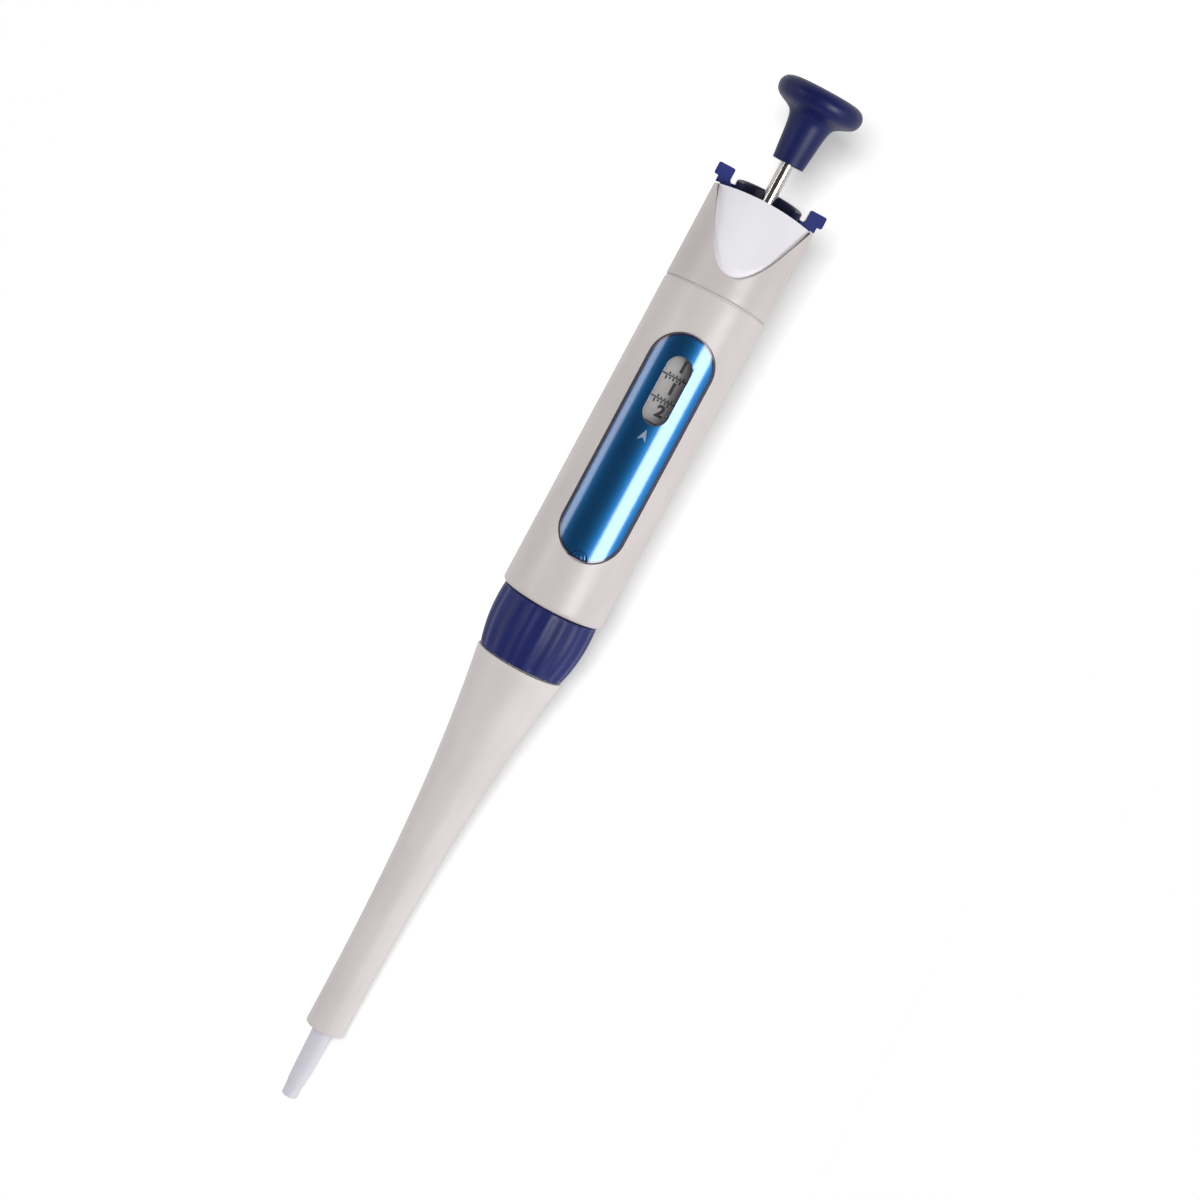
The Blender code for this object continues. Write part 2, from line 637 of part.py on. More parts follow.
def build_drums(look):
    """The number drums. Each has a toothed bore, and the lowest has the web that the spindle turns."""

    def toothed(radius, angle, z):
        if radius > DRUM_RADIUS - GAP or radius < DRUM_BORE_RADIUS - GAP:
            return radius
        return radius + DRUM_TOOTH * (round(angle / (pi / DRUM_TEETH)) % 2)

    for number, name in enumerate(("number_drum_units", "number_drum_tens", "number_drum_hundreds")):
        low = Z_DRUMS + number * DRUM_PITCH
        high = low + DRUM_PITCH - GAP
        inner = [(DRUM_BORE_RADIUS, low), (DRUM_BORE_RADIUS, high)]
        if number == 0:
            inner = [(SPINDLE_HOLE, low), (SPINDLE_HOLE, low + DRUM_WEB), (DRUM_BORE_RADIUS, low + DRUM_WEB)]
            inner.append((DRUM_BORE_RADIUS, high))
        turned(name, [(DRUM_RADIUS, high), (DRUM_RADIUS, low), *inner], look, DRUM_TEETH * 2, toothed)


def build_counter(plastic, steel, brass):
    """The frame that the drums turn on, its base, and the two carry pinions on their pin."""
    low = Z_DRUMS + DRUM_WEB + GAP
    high = Z_DRUMS_TOP + GAP
    outline = [
        (INSIDE_HANDLE, high + COUNTER_FLANGE),
        (INSIDE_HANDLE, high),
        (CORE_RADIUS, high),
        (CORE_RADIUS, low),
        (SPINDLE_HOLE, low),
        (SPINDLE_HOLE, high + COUNTER_FLANGE),
    ]
    frame = turned("counter_frame", outline, plastic, STEPS)
    pocket = disc("pinion_pocket_guide", PINION_RADIUS + GAP, low - CUT_MARGIN, Z_DRUMS_TOP - DRUM_PITCH / 2)
    pocket.data.transform(Matrix.Translation((0, PINION_Y, 0)))
    with_cutter(frame, pocket)
    strip_slots(frame, high, high + COUNTER_FLANGE)
    low_flange = Z_COUNTER_BASE + COUNTER_FLANGE
    base = tube("counter_base", INSIDE_HANDLE, SPINDLE_HOLE, Z_COUNTER_BASE, low_flange, plastic)
    strip_slots(base, Z_COUNTER_BASE, low_flange)

    def toothed(radius, angle, z):
        if radius < 2 * PIN_RADIUS:
            return radius
        return radius - PINION_TOOTH * (round(angle / (pi / PINION_TEETH)) % 2)

    for number, name in enumerate(("carry_pinion_lower", "carry_pinion_upper")):
        middle = Z_DRUMS + (number + 1) * DRUM_PITCH - GAP / 2
        bottom, top = middle - PINION_LENGTH / 2, middle + PINION_LENGTH / 2
        hole = PIN_RADIUS + GAP / 2
        outline = [(PINION_RADIUS, top), (PINION_RADIUS, bottom), (hole, bottom), (hole, top)]
        pinion = turned(name, outline, brass, PINION_TEETH * 2, toothed)
        place(pinion, (0, PINION_Y, 0))
    pin = disc("carry_pin", PIN_RADIUS, low, Z_DRUMS_TOP - DRUM_PITCH / 2 - GAP, steel, PINION_TEETH)
    place(pin, (0, PINION_Y, 0))


def place(thing, where):
    """Puts a piece that was made on the axis at its own axis."""
    thing.location = where


def build_spindle(steel, brass):
    """The threaded spindle, its nut under the bridge, and the calibration nut over the bridge."""
    high = Z_BRIDGE_TOP + SPINDLE_ABOVE_BRIDGE
    threads = []
    top = Z_BRIDGE - NUT_FLANGE
    for i in range(5):
        z = top - i * 3 * SPINDLE_PITCH
        root = SPINDLE_RADIUS - THREAD_DEPTH
        threads += [(SPINDLE_RADIUS, z), (root, z - SPINDLE_PITCH / 2), (SPINDLE_RADIUS, z - SPINDLE_PITCH)]
    outline = [(SPINDLE_RADIUS, high), *threads, (SPINDLE_RADIUS, Z_SPINDLE)]
    turned("volume_spindle", [*outline, (ROD_HOLE, Z_SPINDLE), (ROD_HOLE, high)], steel, 16)
    flange = Z_BRIDGE - GAP
    outline = [
        (NUT_RADIUS, Z_BRIDGE_TOP + NUT_ABOVE_BRIDGE),
        (NUT_RADIUS, flange),
        (NUT_FLANGE_RADIUS, flange),
        (NUT_FLANGE_RADIUS, flange - NUT_FLANGE),
        (NUT_RADIUS, flange - NUT_FLANGE),
        (NUT_RADIUS, Z_BRIDGE_TOP + NUT_ABOVE_BRIDGE - NUT_LENGTH),
        (SPINDLE_HOLE, Z_BRIDGE_TOP + NUT_ABOVE_BRIDGE - NUT_LENGTH),
        (SPINDLE_HOLE, Z_BRIDGE_TOP + NUT_ABOVE_BRIDGE),
    ]
    turned("spindle_nut", outline, brass)
    low = Z_BRIDGE_TOP + GAP
    tube("calibration_nut", CALIBRATION_RADIUS, NUT_RADIUS + GAP, low, low + CALIBRATION_HEIGHT, brass, 12)


def build_bridge(look):
    """The disc across the handle's top, which holds the spindle's nut and carries the ejector spring."""
    bridge = tube("top_bridge", INSIDE_CAP, NUT_RADIUS + GAP, Z_BRIDGE, Z_BRIDGE_TOP, look, STEPS)
    return strip_slots(bridge, Z_BRIDGE, Z_BRIDGE_TOP)


def build_plunger(steel, plastic, knob_look):
    """The knob, its rod, the stop collar on the rod, and the piston under it."""
    disc("plunger_rod", ROD_RADIUS, Z_COLLAR, Z_KNOB + ROD_IN_KNOB, steel, 16)
    tube("stop_collar", COLLAR_RADIUS, ROD_HOLE, Z_COLLAR, Z_COLLAR + COLLAR_HEIGHT, plastic)
    rest = CHAMBER_HEIGHT + GAP + BLOWOUT_STROKE + SET_STROKE + SET_STROKE
    disc("piston", PISTON_RADIUS, rest, Z_COLLAR - GAP, steel, 20)
    head = Z_KNOB + KNOB_NECK_HEIGHT
    top = head + KNOB_SKIRT_HEIGHT + KNOB_HEAD_HEIGHT
    neck = [
        (KNOB_NECK_RADIUS + KNOB_NECK_FLARE * share**3, Z_KNOB + KNOB_NECK_HEIGHT * share)
        for share in (1, 0.8, 0.5, 0)
    ]
    rim = arc((0, 0), 1.0, 80, -60, 7)
    lip = KNOB_HEAD_HEIGHT / 2
    middle = (KNOB_HEAD_RADIUS - lip, top - lip)
    outline = [(0, top)]
    outline += [(middle[0] + lip * u, middle[1] + lip * v) for u, v in rim]
    outline += neck
    outline += [(ROD_HOLE, Z_KNOB), (ROD_HOLE, Z_KNOB + ROD_IN_KNOB + GAP), (0, Z_KNOB + ROD_IN_KNOB + GAP)]
    turned("thumb_knob", outline, knob_look, STEPS)


def build_stops(plastic, steel):
    """The springs' housing, the blow-out plate that it keeps down, the springs and the tip cone's socket."""
    tube("cone_socket", SOCKET_RADIUS, CONE_BODY_RADIUS + GAP, Z_SOCKET, Z_SOCKET + SOCKET_HEIGHT, plastic)
    lip = Z_BLOWOUT + BLOWOUT_PLATE + GAP
    outline = [
        (HOUSING_RADIUS, lip + HOUSING_LIP),
        (HOUSING_RADIUS, Z_HOUSING),
        (CHAMBER_RADIUS, Z_HOUSING),
        (CHAMBER_RADIUS, Z_HOUSING + HOUSING_BASE),
        (HOUSING_BORE, Z_HOUSING + HOUSING_BASE),
        (HOUSING_BORE, lip),
        (COLLAR_RADIUS + GAP, lip),
        (COLLAR_RADIUS + GAP, lip + HOUSING_LIP),
    ]
    turned("spring_housing", outline, plastic)
    hole = RETURN_OUTSIDE + GAP
    tube("blowout_plate", BLOWOUT_PLATE_RADIUS, hole, Z_BLOWOUT, Z_BLOWOUT + BLOWOUT_PLATE, steel)
    coil("return_spring", RETURN_COIL, RETURN_WIRE, Z_SPRINGS, Z_COLLAR - GAP, RETURN_TURNS, steel)
    coil("blowout_spring", BLOWOUT_COIL, BLOWOUT_WIRE, Z_SPRINGS, Z_BLOWOUT - GAP, BLOWOUT_TURNS, steel)
    low = Z_BRIDGE_TOP + GAP
    coil("ejector_spring", EJECTOR_COIL, EJECTOR_WIRE, low, low + EJECTOR_SPRING_LENGTH, EJECTOR_TURNS, steel)


def build_ejector(plastic, steel, pad_look):
    """The yoke in the cap, the two strips down the handle, the hub in the ring, and the thumb pad."""
    yoke_radius = CAP_BORE - GAP - REST_SCREW_HEAD - GAP
    high = Z_YOKE + YOKE_THICKNESS
    yoke = tube("ejector_yoke", yoke_radius, YOKE_HOLE_RADIUS, Z_YOKE, high, plastic, STEPS)
    with_cutter(yoke, pad_slab("yoke_front_guide", PAD_THICKNESS + GAP, CUT_MARGIN, GAP))
    hub_top = Z_HANDLE - GAP
    for side, name in ((-1, "ejector_strip_left"), (1, "ejector_strip_right")):
        middle, half = side * STRIP_X, STRIP_THICKNESS / 2
        low = (middle - half, -STRIP_WIDTH / 2, hub_top + GAP)
        high = (middle + half, STRIP_WIDTH / 2, Z_YOKE - GAP)
        block(name, low, high, steel)
    outline = [
        (HUB_FLANGE_RADIUS, hub_top),
        (HUB_FLANGE_RADIUS, hub_top - HUB_FLANGE),
        (HUB_RADIUS, hub_top - HUB_FLANGE),
        (HUB_RADIUS, hub_top - HUB_LENGTH),
        (HUB_BORE, hub_top - HUB_LENGTH),
        (HUB_BORE, hub_top),
    ]
    turned("ejector_hub", outline, plastic)
    pad = pad_slab("thumb_pad", PAD_THICKNESS, 0.0, 0.0)
    pad.data.materials.append(pad_look)
    side_guide = disc("pad_side_guide", INSIDE_CAP, Z_PAD - PAD_TUCK, Z_RIM + CUT_MARGIN, steps=STEPS_FINE)
    with_cutter(pad, side_guide, "INTERSECT")
    return with_cutter(pad, crown_cylinder("pad_top_guide", 0.0), "INTERSECT")


def pad_slab(name, back, front, side):
    """A slab of the sloped, slightly barrelled face of the thumb pad.

    back and front are how far it reaches behind and before the face, and side widens it sideways.
    """
    length = (Z_RIM - Z_PAD) * 3
    slab = tube(
        name, PAD_FACE_RADIUS + front, PAD_FACE_RADIUS - back, -length / 2, length / 2, steps=STEPS_CROWN * 2
    )
    foot = Vector((0, -INSIDE_CAP, Z_PAD))
    lean = Matrix.Rotation(-PAD_SLOPE, 4, "X")
    slab.data.transform(Matrix.Translation(foot) @ lean @ Matrix.Translation((0, PAD_FACE_RADIUS, 0)))
    half = INSIDE_CAP + side
    low, high = (-half, -2 * HANDLE_RADIUS, Z_PAD - length), (half, 0, Z_PAD + length)
    return with_cutter(slab, block(f"{name}_front_guide", low, high), "INTERSECT")


def opening_half_width(z):
    """Half the width of the cap's opening at a height: a sloping plane through the cap's outer wall."""
    depth = HANDLE_RADIUS - (z - Z_PAD) * tan(PAD_SLOPE) * 1.06
    return sqrt(max(HANDLE_RADIUS**2 - depth**2, 0.0))


def build_cap(look):
    """The upper cap: a thin shell with an arched top and a U-shaped opening for the thumb pad."""
    top = Z_RIM + CROWN_RISE + CUT_MARGIN
    bottom = Z_SEAM - 2 * HANDLE_RADIUS * tan(SEAM_TILT) - CUT_MARGIN
    cap = tube("upper_cap", HANDLE_RADIUS, CAP_BORE, bottom, top, look, STEPS_FINE)
    with_cutter(cap, above_seam("cap_seam_guide", GAP), "INTERSECT")
    with_cutter(cap, crown_cylinder("cap_top_guide", 0.0), "INTERSECT")
    rise = Z_RIM + CROWN_RISE - Z_PAD
    heights = [Z_PAD + rise * (i / OPENING_STEPS) ** 2 for i in range(1, OPENING_STEPS + 1)]
    right = [(opening_half_width(z), z) for z in heights]
    left = [(-x, z) for x, z in reversed(right)]
    above = top + CUT_MARGIN
    outline = [(0, Z_PAD), *right, (right[-1][0], above), (left[0][0], above), *left]
    with_cutter(cap, front_prism("pad_opening_guide", outline))
    return with_cutter(cap, rest_screw_hole("cap_screw_guide"))


def build_top(blue, dark):
    """The top plate with its two lugs, and the collar that the knob's neck enters."""
    under, over = GAP, GAP + PLATE_THICKNESS
    bottom = Z_RIM - PLATE_SPIGOT
    outline = [
        (HANDLE_RADIUS, Z_RIM + 2 * CROWN_RISE + over),
        (HANDLE_RADIUS, bottom),
        (NECK_COLLAR_RADIUS + GAP, bottom),
        (NECK_COLLAR_RADIUS + GAP, Z_RIM + 2 * CROWN_RISE + over),
    ]
    plate = turned("top_plate", outline, blue, STEPS_FINE)
    with_cutter(plate, crown_cylinder("plate_top_guide", over), "INTERSECT")
    above, beyond = Z_RIM + 3 * CROWN_RISE, HANDLE_RADIUS + CUT_MARGIN
    rim = tube("plate_rim_guide", beyond, INSIDE_CAP, bottom - CUT_MARGIN, above)
    with_cutter(rim, crown_cylinder("plate_under_guide", under), "INTERSECT")
    with_cutter(plate, rim)
    for side, name in ((-1, "left_lug_guide"), (1, "right_lug_guide")):
        with_cutter(plate, lug(name, side), "UNION")
    front = -2 * HANDLE_RADIUS
    clear = PAD_TOP_Y + PAD_THICKNESS / cos(PAD_SLOPE) + INSIDE_CAP**2 / (2 * PAD_FACE_RADIUS) + GAP
    low = (-2 * HANDLE_RADIUS, front, bottom - CUT_MARGIN)
    with_cutter(plate, block("plate_front_guide", low, (2 * HANDLE_RADIUS, clear, above)))
    collar_top = Z_RIM + CROWN_RISE + over + NECK_COLLAR_RISE
    above = collar_top + CUT_MARGIN
    collar = tube("neck_collar", NECK_COLLAR_RADIUS, NECK_COLLAR_HOLE, bottom, above, dark, STEPS)
    slope = tan(NECK_COLLAR_TILT)
    half = NECK_COLLAR_RADIUS + CUT_MARGIN
    cut = [(-half, -half * slope), (half, half * slope), (half, 2 * half), (-half, 2 * half)]
    lift = collar_top - NECK_COLLAR_RADIUS * slope
    with_cutter(collar, extruded("collar_top_guide", cut, facing_side(0, 0, lift), 2 * half))
    low, high = (-half, -2 * half, bottom - CUT_MARGIN), (half, -NECK_COLLAR_OPEN, above + CUT_MARGIN)
    with_cutter(collar, block("collar_front_guide", low, high))


def lug(name, side):
    """One T-shaped lug: a head that overhangs the cap outside, and a fillet down to the plate inside."""
    plate_edge = LUG_BOTTOM_Z + PLATE_THICKNESS
    head = plate_edge + LUG_NOTCH
    top = head + LUG_HEIGHT
    c = LUG_CORNER
    fillet = arc((LUG_IN - LUG_FILLET, head - c + LUG_FILLET), LUG_FILLET, 0, -90, 3)
    outline = [(HANDLE_RADIUS, plate_edge - PLATE_THICKNESS / 2), (HANDLE_RADIUS, head)]
    outline += arc((LUG_OUT - c, head + c), c, -90, 0, 2) + arc((LUG_OUT - c, top - c), c, 0, 90, 2)
    outline += arc((LUG_IN + c, top - c), c, 90, 180, 2) + fillet
    outline += [(LUG_IN - LUG_FILLET, plate_edge + c)]
    if side < 0:
        outline = [(-x, z) for x, z in reversed(outline)]
    return extruded(name, outline, facing_front(0, 0, 0), LUG_DEPTH)


def rest_screw_hole(name):
    """The guide for the finger rest's screw, along Y through the cap's back wall."""
    shaft = disc(name, REST_SCREW_RADIUS + GAP, 0, HANDLE_RADIUS + REST_BASE + REST_SCREW_DEPTH, steps=12)
    shaft.data.transform(
        Matrix.Translation((0, REST_SCREW_HEAD_RADIUS * 2, Z_REST_SCREW)) @ Matrix.Rotation(-pi / 2, 4, "X")
    )
    return shaft


def build_rest(look, steel):
    """The finger rest at the back of the cap, and the screw that holds it from inside."""
    inner, back = HANDLE_RADIUS / 2, HANDLE_RADIUS + GAP + REST_BASE
    high = Z_REST + REST_BASE_LENGTH / 2
    low = high - REST_BASE_LENGTH
    under, over = Z_REST, Z_REST + REST_ARM
    inside = REST_REACH - REST_TIP_THICKNESS
    end = under - REST_TIP
    half = REST_TIP_THICKNESS / 2
    tip = arc((inside + half, end + half), half, 180, 360, 4)
    elbow = arc((REST_REACH - REST_ARM, over - REST_ARM), REST_ARM, 0, 90, 4)
    outline = [
        (inner, low),
        (back, low),
        *arc((back + REST_ROUND, under - REST_ROUND), REST_ROUND, 180, 90, 3),
        *arc((inside - REST_ROUND, under - REST_ROUND), REST_ROUND, 90, 0, 3),
        *tip,
        *elbow,
        (back + REST_BASE, over + REST_BASE / 2),
        (back, high),
        (inner, high),
    ]
    rest = extruded("finger_rest", outline, facing_side(0, 0, 0), REST_WIDTH, look)
    below, beyond = low - REST_BASE_LENGTH, high + REST_BASE_LENGTH
    with_cutter(rest, disc("rest_seat_guide", HANDLE_RADIUS + GAP, below, beyond, steps=STEPS_FINE))
    with_cutter(rest, rest_screw_hole("rest_screw_guide"))
    start = CAP_BORE - GAP - REST_SCREW_HEAD
    neck = CAP_BORE - GAP
    outline = [
        (0, start),
        (REST_SCREW_HEAD_RADIUS, start),
        (REST_SCREW_HEAD_RADIUS, neck),
        (REST_SCREW_RADIUS, neck),
        (REST_SCREW_RADIUS, back + REST_SCREW_DEPTH - GAP),
        (0, back + REST_SCREW_DEPTH - GAP),
    ]
    screw = turned("finger_rest_screw", list(reversed(outline)), steel, 12)
    screw.data.transform(Matrix.Translation((0, 0, Z_REST_SCREW)) @ Matrix.Rotation(-pi / 2, 4, "X"))


def main():
    clear_scene()
    grey = material("light_grey_plastic", LIGHT_GREY, 0.35)
    white = material("pad_white", WARM_WHITE, 0.35)
    inner = material("inner_white_plastic", INNER_WHITE, 0.5)
    navy = material("navy_plastic", NAVY, 0.35)
    steel = material("polished_steel", STEEL, 0.15, 1.0)
    brass = material("brass", BRASS, 0.3, 1.0)
    build_tip_cone(material("lilac_nozzle", LILAC, 0.3))
    build_seal(material("seal_rubber", RUBBER, 0.6), inner, brass)
    build_sleeve(grey)
    build_ring(navy)
    build_handle(grey)
    build_label(material("label_blue", LABEL_BLUE, 0.1))
    build_lens(material("clear_lens", CLEAR, 0.05))
    build_drums(material("drum_grey", DRUM_GREY, 0.5))
    build_counter(inner, steel, brass)
    build_spindle(steel, brass)
    build_bridge(inner)
    build_plunger(steel, inner, navy)
    build_stops(inner, steel)
    build_ejector(inner, steel, white)
    build_cap(grey)
    build_top(material("blue_plastic", BLUE, 0.35), material("dark_navy_plastic", DARK_NAVY, 0.4))
    build_rest(grey, steel)


main()
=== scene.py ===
"""A hand pipette for the laboratory bench, dressed piece by piece around its fixed frame.

Sizes are in metres in the frame's own axes: +Z runs along the pipette to the thumb knob, -Y is its front.
"""

import logging
import math
from collections.abc import Callable, Sequence
from dataclasses import dataclass
from enum import Enum

import bmesh
import bpy
from mathutils import Matrix, Vector


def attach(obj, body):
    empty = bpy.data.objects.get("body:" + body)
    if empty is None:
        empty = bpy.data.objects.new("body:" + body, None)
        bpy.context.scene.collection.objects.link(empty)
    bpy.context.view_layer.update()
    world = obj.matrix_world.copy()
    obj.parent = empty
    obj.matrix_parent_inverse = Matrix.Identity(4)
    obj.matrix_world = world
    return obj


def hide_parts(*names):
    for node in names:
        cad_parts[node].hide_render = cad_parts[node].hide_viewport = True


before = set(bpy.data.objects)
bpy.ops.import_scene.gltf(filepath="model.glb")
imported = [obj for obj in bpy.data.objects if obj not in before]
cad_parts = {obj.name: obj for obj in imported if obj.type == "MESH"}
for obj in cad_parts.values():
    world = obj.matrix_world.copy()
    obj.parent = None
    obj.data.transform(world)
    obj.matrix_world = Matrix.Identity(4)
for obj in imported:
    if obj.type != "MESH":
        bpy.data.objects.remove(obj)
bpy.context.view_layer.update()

Point = tuple[float, float]
Corner = tuple[float, float, float]
Place = tuple[float, float, float]
Colour = tuple[float, float, float]
Piece = bpy.types.Object

MM = 0.001
GAP = 0.3 * MM
LOG = logging.getLogger("pipette")


class Join(Enum):
    """How a second solid changes the first."""

    CUT = "DIFFERENCE"
    ADD = "UNION"
    KEEP = "INTERSECT"


class Side(Enum):
    """A side of the pipette, as its sign along X."""

    LEFT = -1
    RIGHT = 1


class Slot(Enum):
    """The record's slots that the pieces take their finishes from."""

    GREY = "grey_plastic"
    PAD = "pad_plastic"
    NAVY = "navy_plastic"
    DARK_NAVY = "dark_navy_plastic"
    BLUE = "blue_plastic"
    LABEL = "label_blue"
    LILAC = "lilac_plastic"
    CLEAR = "clear_plastic"
    DRUM = "drum_plastic"
    INNER = "inner_plastic"
    STEEL = "steel"
    RUBBER = "seal_rubber"


class Signal:
    """A shader socket that sums and products are written with."""

    def __init__(self, bench: "Bench", socket: bpy.types.NodeSocket) -> None:
        """Keeps the socket and the bench it belongs to."""
        self.bench, self.socket = bench, socket

    def maths(self, operation: str, *terms: "Signal | float") -> "Signal":
        """Adds one Math node.

        Args:
            operation: the node's operation.
            terms: its inputs, in order.

        Returns:
            The result.
        """
        return self.bench.signal("ShaderNodeMath", {"operation": operation}, dict(enumerate(terms)))

    def __add__(self, other: "Signal | float") -> "Signal":
        """This plus another."""
        return self.maths("ADD", self, other)

    __radd__ = __add__

    def __mul__(self, other: "Signal | float") -> "Signal":
        """This times another."""
        return self.maths("MULTIPLY", self, other)

    __rmul__ = __mul__

    def __sub__(self, other: "Signal | float") -> "Signal":
        """This less another."""
        return self.maths("SUBTRACT", self, other)

    def __rsub__(self, other: "Signal | float") -> "Signal":
        """Another less this."""
        return self.maths("SUBTRACT", other, self)

    def __pow__(self, other: float) -> "Signal":
        """This to a power."""
        return self.maths("POWER", self, other)

    def size(self) -> "Signal":
        """This without its sign."""
        return self.maths("ABSOLUTE", self)

    def at_least(self, least: float) -> "Signal":
        """This, or a least value where that is more."""
        return self.maths("MAXIMUM", self, least)

    def rise(self, low: float, high: float) -> "Signal":
        """A smooth step from 0 at low to 1 at high.

        Args:
            low: where the step starts.
            high: where it ends, which may be less than low.

        Returns:
            The step.
        """
        values = {"Value": self, "From Min": low, "From Max": high}
        return self.bench.signal("ShaderNodeMapRange", {"interpolation_type": "SMOOTHSTEP"}, values)


class Bench:
    """The node tree of one finish, and the few nodes that finishes are mixed from."""

    def __init__(self, name: str, tree: bpy.types.NodeTree | None = None) -> None:
        """Clears a new material's nodes, or those of a tree that is there.

        Args:
            name: the material's name.
            tree: another tree to work in.
        """
        self.material = None
        if tree is None:
            self.material = bpy.data.materials.new(name)
            self.material.use_nodes = True
            tree = self.material.node_tree
        self.tree = tree
        self.tree.nodes.clear()

    def node(self, kind: str, settings: dict | None = None, values: dict | None = None) -> bpy.types.Node:
        """Adds a node.

        Args:
            kind: the node's type.
            settings: its own settings.
            values: what its inputs hold or are linked to.

        Returns:
            The node.
        """
        node = self.tree.nodes.new(kind)
        for key, value in (settings or {}).items():
            setattr(node, key, value)
        for key, value in (values or {}).items():
            if isinstance(value, Signal):
                self.tree.links.new(value.socket, node.inputs[key])
            else:
                node.inputs[key].default_value = value
        return node

    def signal(self, kind: str, settings: dict | None = None, values: dict | None = None,
               output: int | str = 0) -> Signal:
        """Adds a node as above, and gives one of its outputs."""
        return Signal(self, self.node(kind, settings, values).outputs[output])

    def place(self, kind: str = "Object") -> tuple[Signal, Signal, Signal]:
        """The three coordinates of a kind; the object's own are in metres."""
        spot = self.signal("ShaderNodeTexCoord", output=kind)
        split = self.node("ShaderNodeSeparateXYZ", {}, {0: spot})
        return tuple(Signal(self, output) for output in split.outputs)

    def noise(self, size: float, stretch: Place = (1.0, 1.0, 1.0), detail: float = 3.0) -> Signal:
        """A cloud of values from 0 to 1 on object coordinates.

        Args:
            size: the length of one cloud.
            stretch: how many times longer it is along each axis.
            detail: how many finer layers it has.

        Returns:
            The cloud.
        """
        spot = self.signal("ShaderNodeTexCoord", output="Object")
        scale = tuple(1.0 / (size * each) for each in stretch)
        mapped = self.signal("ShaderNodeMapping", {"vector_type": "POINT"}, {"Vector": spot, "Scale": scale})
        return self.signal("ShaderNodeTexNoise", {}, {"Vector": mapped, "Scale": 1.0, "Detail": detail})

    def tint(self, share: Signal | float, first: Signal | Colour, second: Signal | Colour) -> Signal:
        """Mixes two colours.

        Args:
            share: how much of the second there is.
            first: the first colour.
            second: the second colour.

        Returns:
            The mix.
        """
        pair = [each if isinstance(each, Signal) else (*each, 1.0) for each in (first, second)]
        return self.signal("ShaderNodeMix", {"data_type": "RGBA"}, {0: share, 6: pair[0], 7: pair[1]}, 2)

    def relief(self, height: Signal, depth: float) -> Signal:
        """A normal that follows a height of 0 to 1 over a depth in metres."""
        return self.signal("ShaderNodeBump", {}, {"Strength": 1.0, "Distance": depth, "Height": height})

    def shade(self, values: dict) -> bpy.types.Material:
        """Joins the shader to the output.

        Args:
            values: what the shader's inputs hold or are linked to.

        Returns:
            The finished material.
        """
        shader = self.signal("ShaderNodeBsdfPrincipled", {}, values)
        self.node("ShaderNodeOutputMaterial", {}, {0: shader})
        return self.material


def darker(colour: Colour, share: float) -> Colour:
    """A colour with a share of its light taken away, or with light added where the share is negative."""
    return tuple(part * (1.0 - share) for part in colour)


def paler(colour: Colour, share: float) -> Colour:
    """A colour moved towards white by a share."""
    return tuple(part + (1.0 - part) * share for part in colour)


@dataclass(frozen=True)
class Moulded:
    """Moulded plastic: cloudy colour, fine mould grain, hand smears, and edges rubbed paler."""

    name: str
    colour: Colour
    roughness: float = 0.4
    drift: float = 0.05
    grain: float = 5e-6
    grain_size: float = 0.25 * MM
    smears: float = 0.1
    rubbed: tuple[float, ...] = ()
    rub: float = 0.12
    depth_of_light: float = 0.0
    index: float = 1.49

    def made(self) -> bpy.types.Material:
        """Mixes the material."""
        bench = Bench(self.name)
        cloud = bench.noise(9 * MM, (1.0, 1.0, 2.2), 4.0)
        fleck = bench.noise(0.5 * MM, detail=2.0)
        deep, light = darker(self.colour, self.drift), darker(self.colour, -self.drift / 2)
        colour = bench.tint(cloud.rise(0.3, 0.7), deep, light)
        colour = bench.tint(fleck.rise(0.62, 0.8) * 0.25, colour, darker(self.colour, self.drift * 2))
        smear = bench.noise(5 * MM, (1.0, 1.0, 3.0), 5.0).rise(0.35, 0.75)
        rough = self.roughness - self.smears / 2 + smear * self.smears
        if self.rubbed:
            height = bench.place()[2]
            band: Signal | float = 0.0
            for middle in self.rubbed:
                band = (height - middle).size().rise(0.9 * MM, 0.1 * MM) + band
            band = band * bench.noise(1.1 * MM, detail=4.0).rise(0.4, 0.62)
            colour = bench.tint(band * self.rub * 3.0, colour, paler(self.colour, self.rub))
            rough = rough - band * 0.08
        grain = bench.noise(self.grain_size, detail=3.0)
        values = {"Base Color": colour, "Roughness": rough, "Normal": bench.relief(grain, self.grain)}
        values["IOR"] = self.index
        if self.depth_of_light:
            values |= {"Subsurface Weight": self.depth_of_light, "Subsurface Scale": 1.5 * MM}
            values["Subsurface Radius"] = (1.0, 0.9, 1.0)
        return bench.shade(values)


@dataclass(frozen=True)
class Metal:
    """Metal with fine lines from drawing or turning, and a breath of tarnish."""

    name: str
    colour: Colour
    roughness: float = 0.16
    lines: Place = (1.0, 1.0, 60.0)
    line_size: float = 0.08 * MM
    tarnish: float = 0.15

    def made(self) -> bpy.types.Material:
        """Mixes the material."""
        bench = Bench(self.name)
        lines = bench.noise(self.line_size, self.lines, 3.0)
        bloom = bench.noise(2.5 * MM, detail=4.0).rise(0.45, 0.7)
        colour = bench.tint(bloom * self.tarnish, self.colour, darker(self.colour, 0.35))
        colour = bench.tint(lines.rise(0.35, 0.7) * 0.3, colour, darker(self.colour, 0.25))
        rough = self.roughness + bloom * 0.08 + lines * 0.06
        normal = bench.relief(lines, 1.5e-6)
        return bench.shade({"Base Color": colour, "Metallic": 1.0, "Roughness": rough, "Normal": normal})


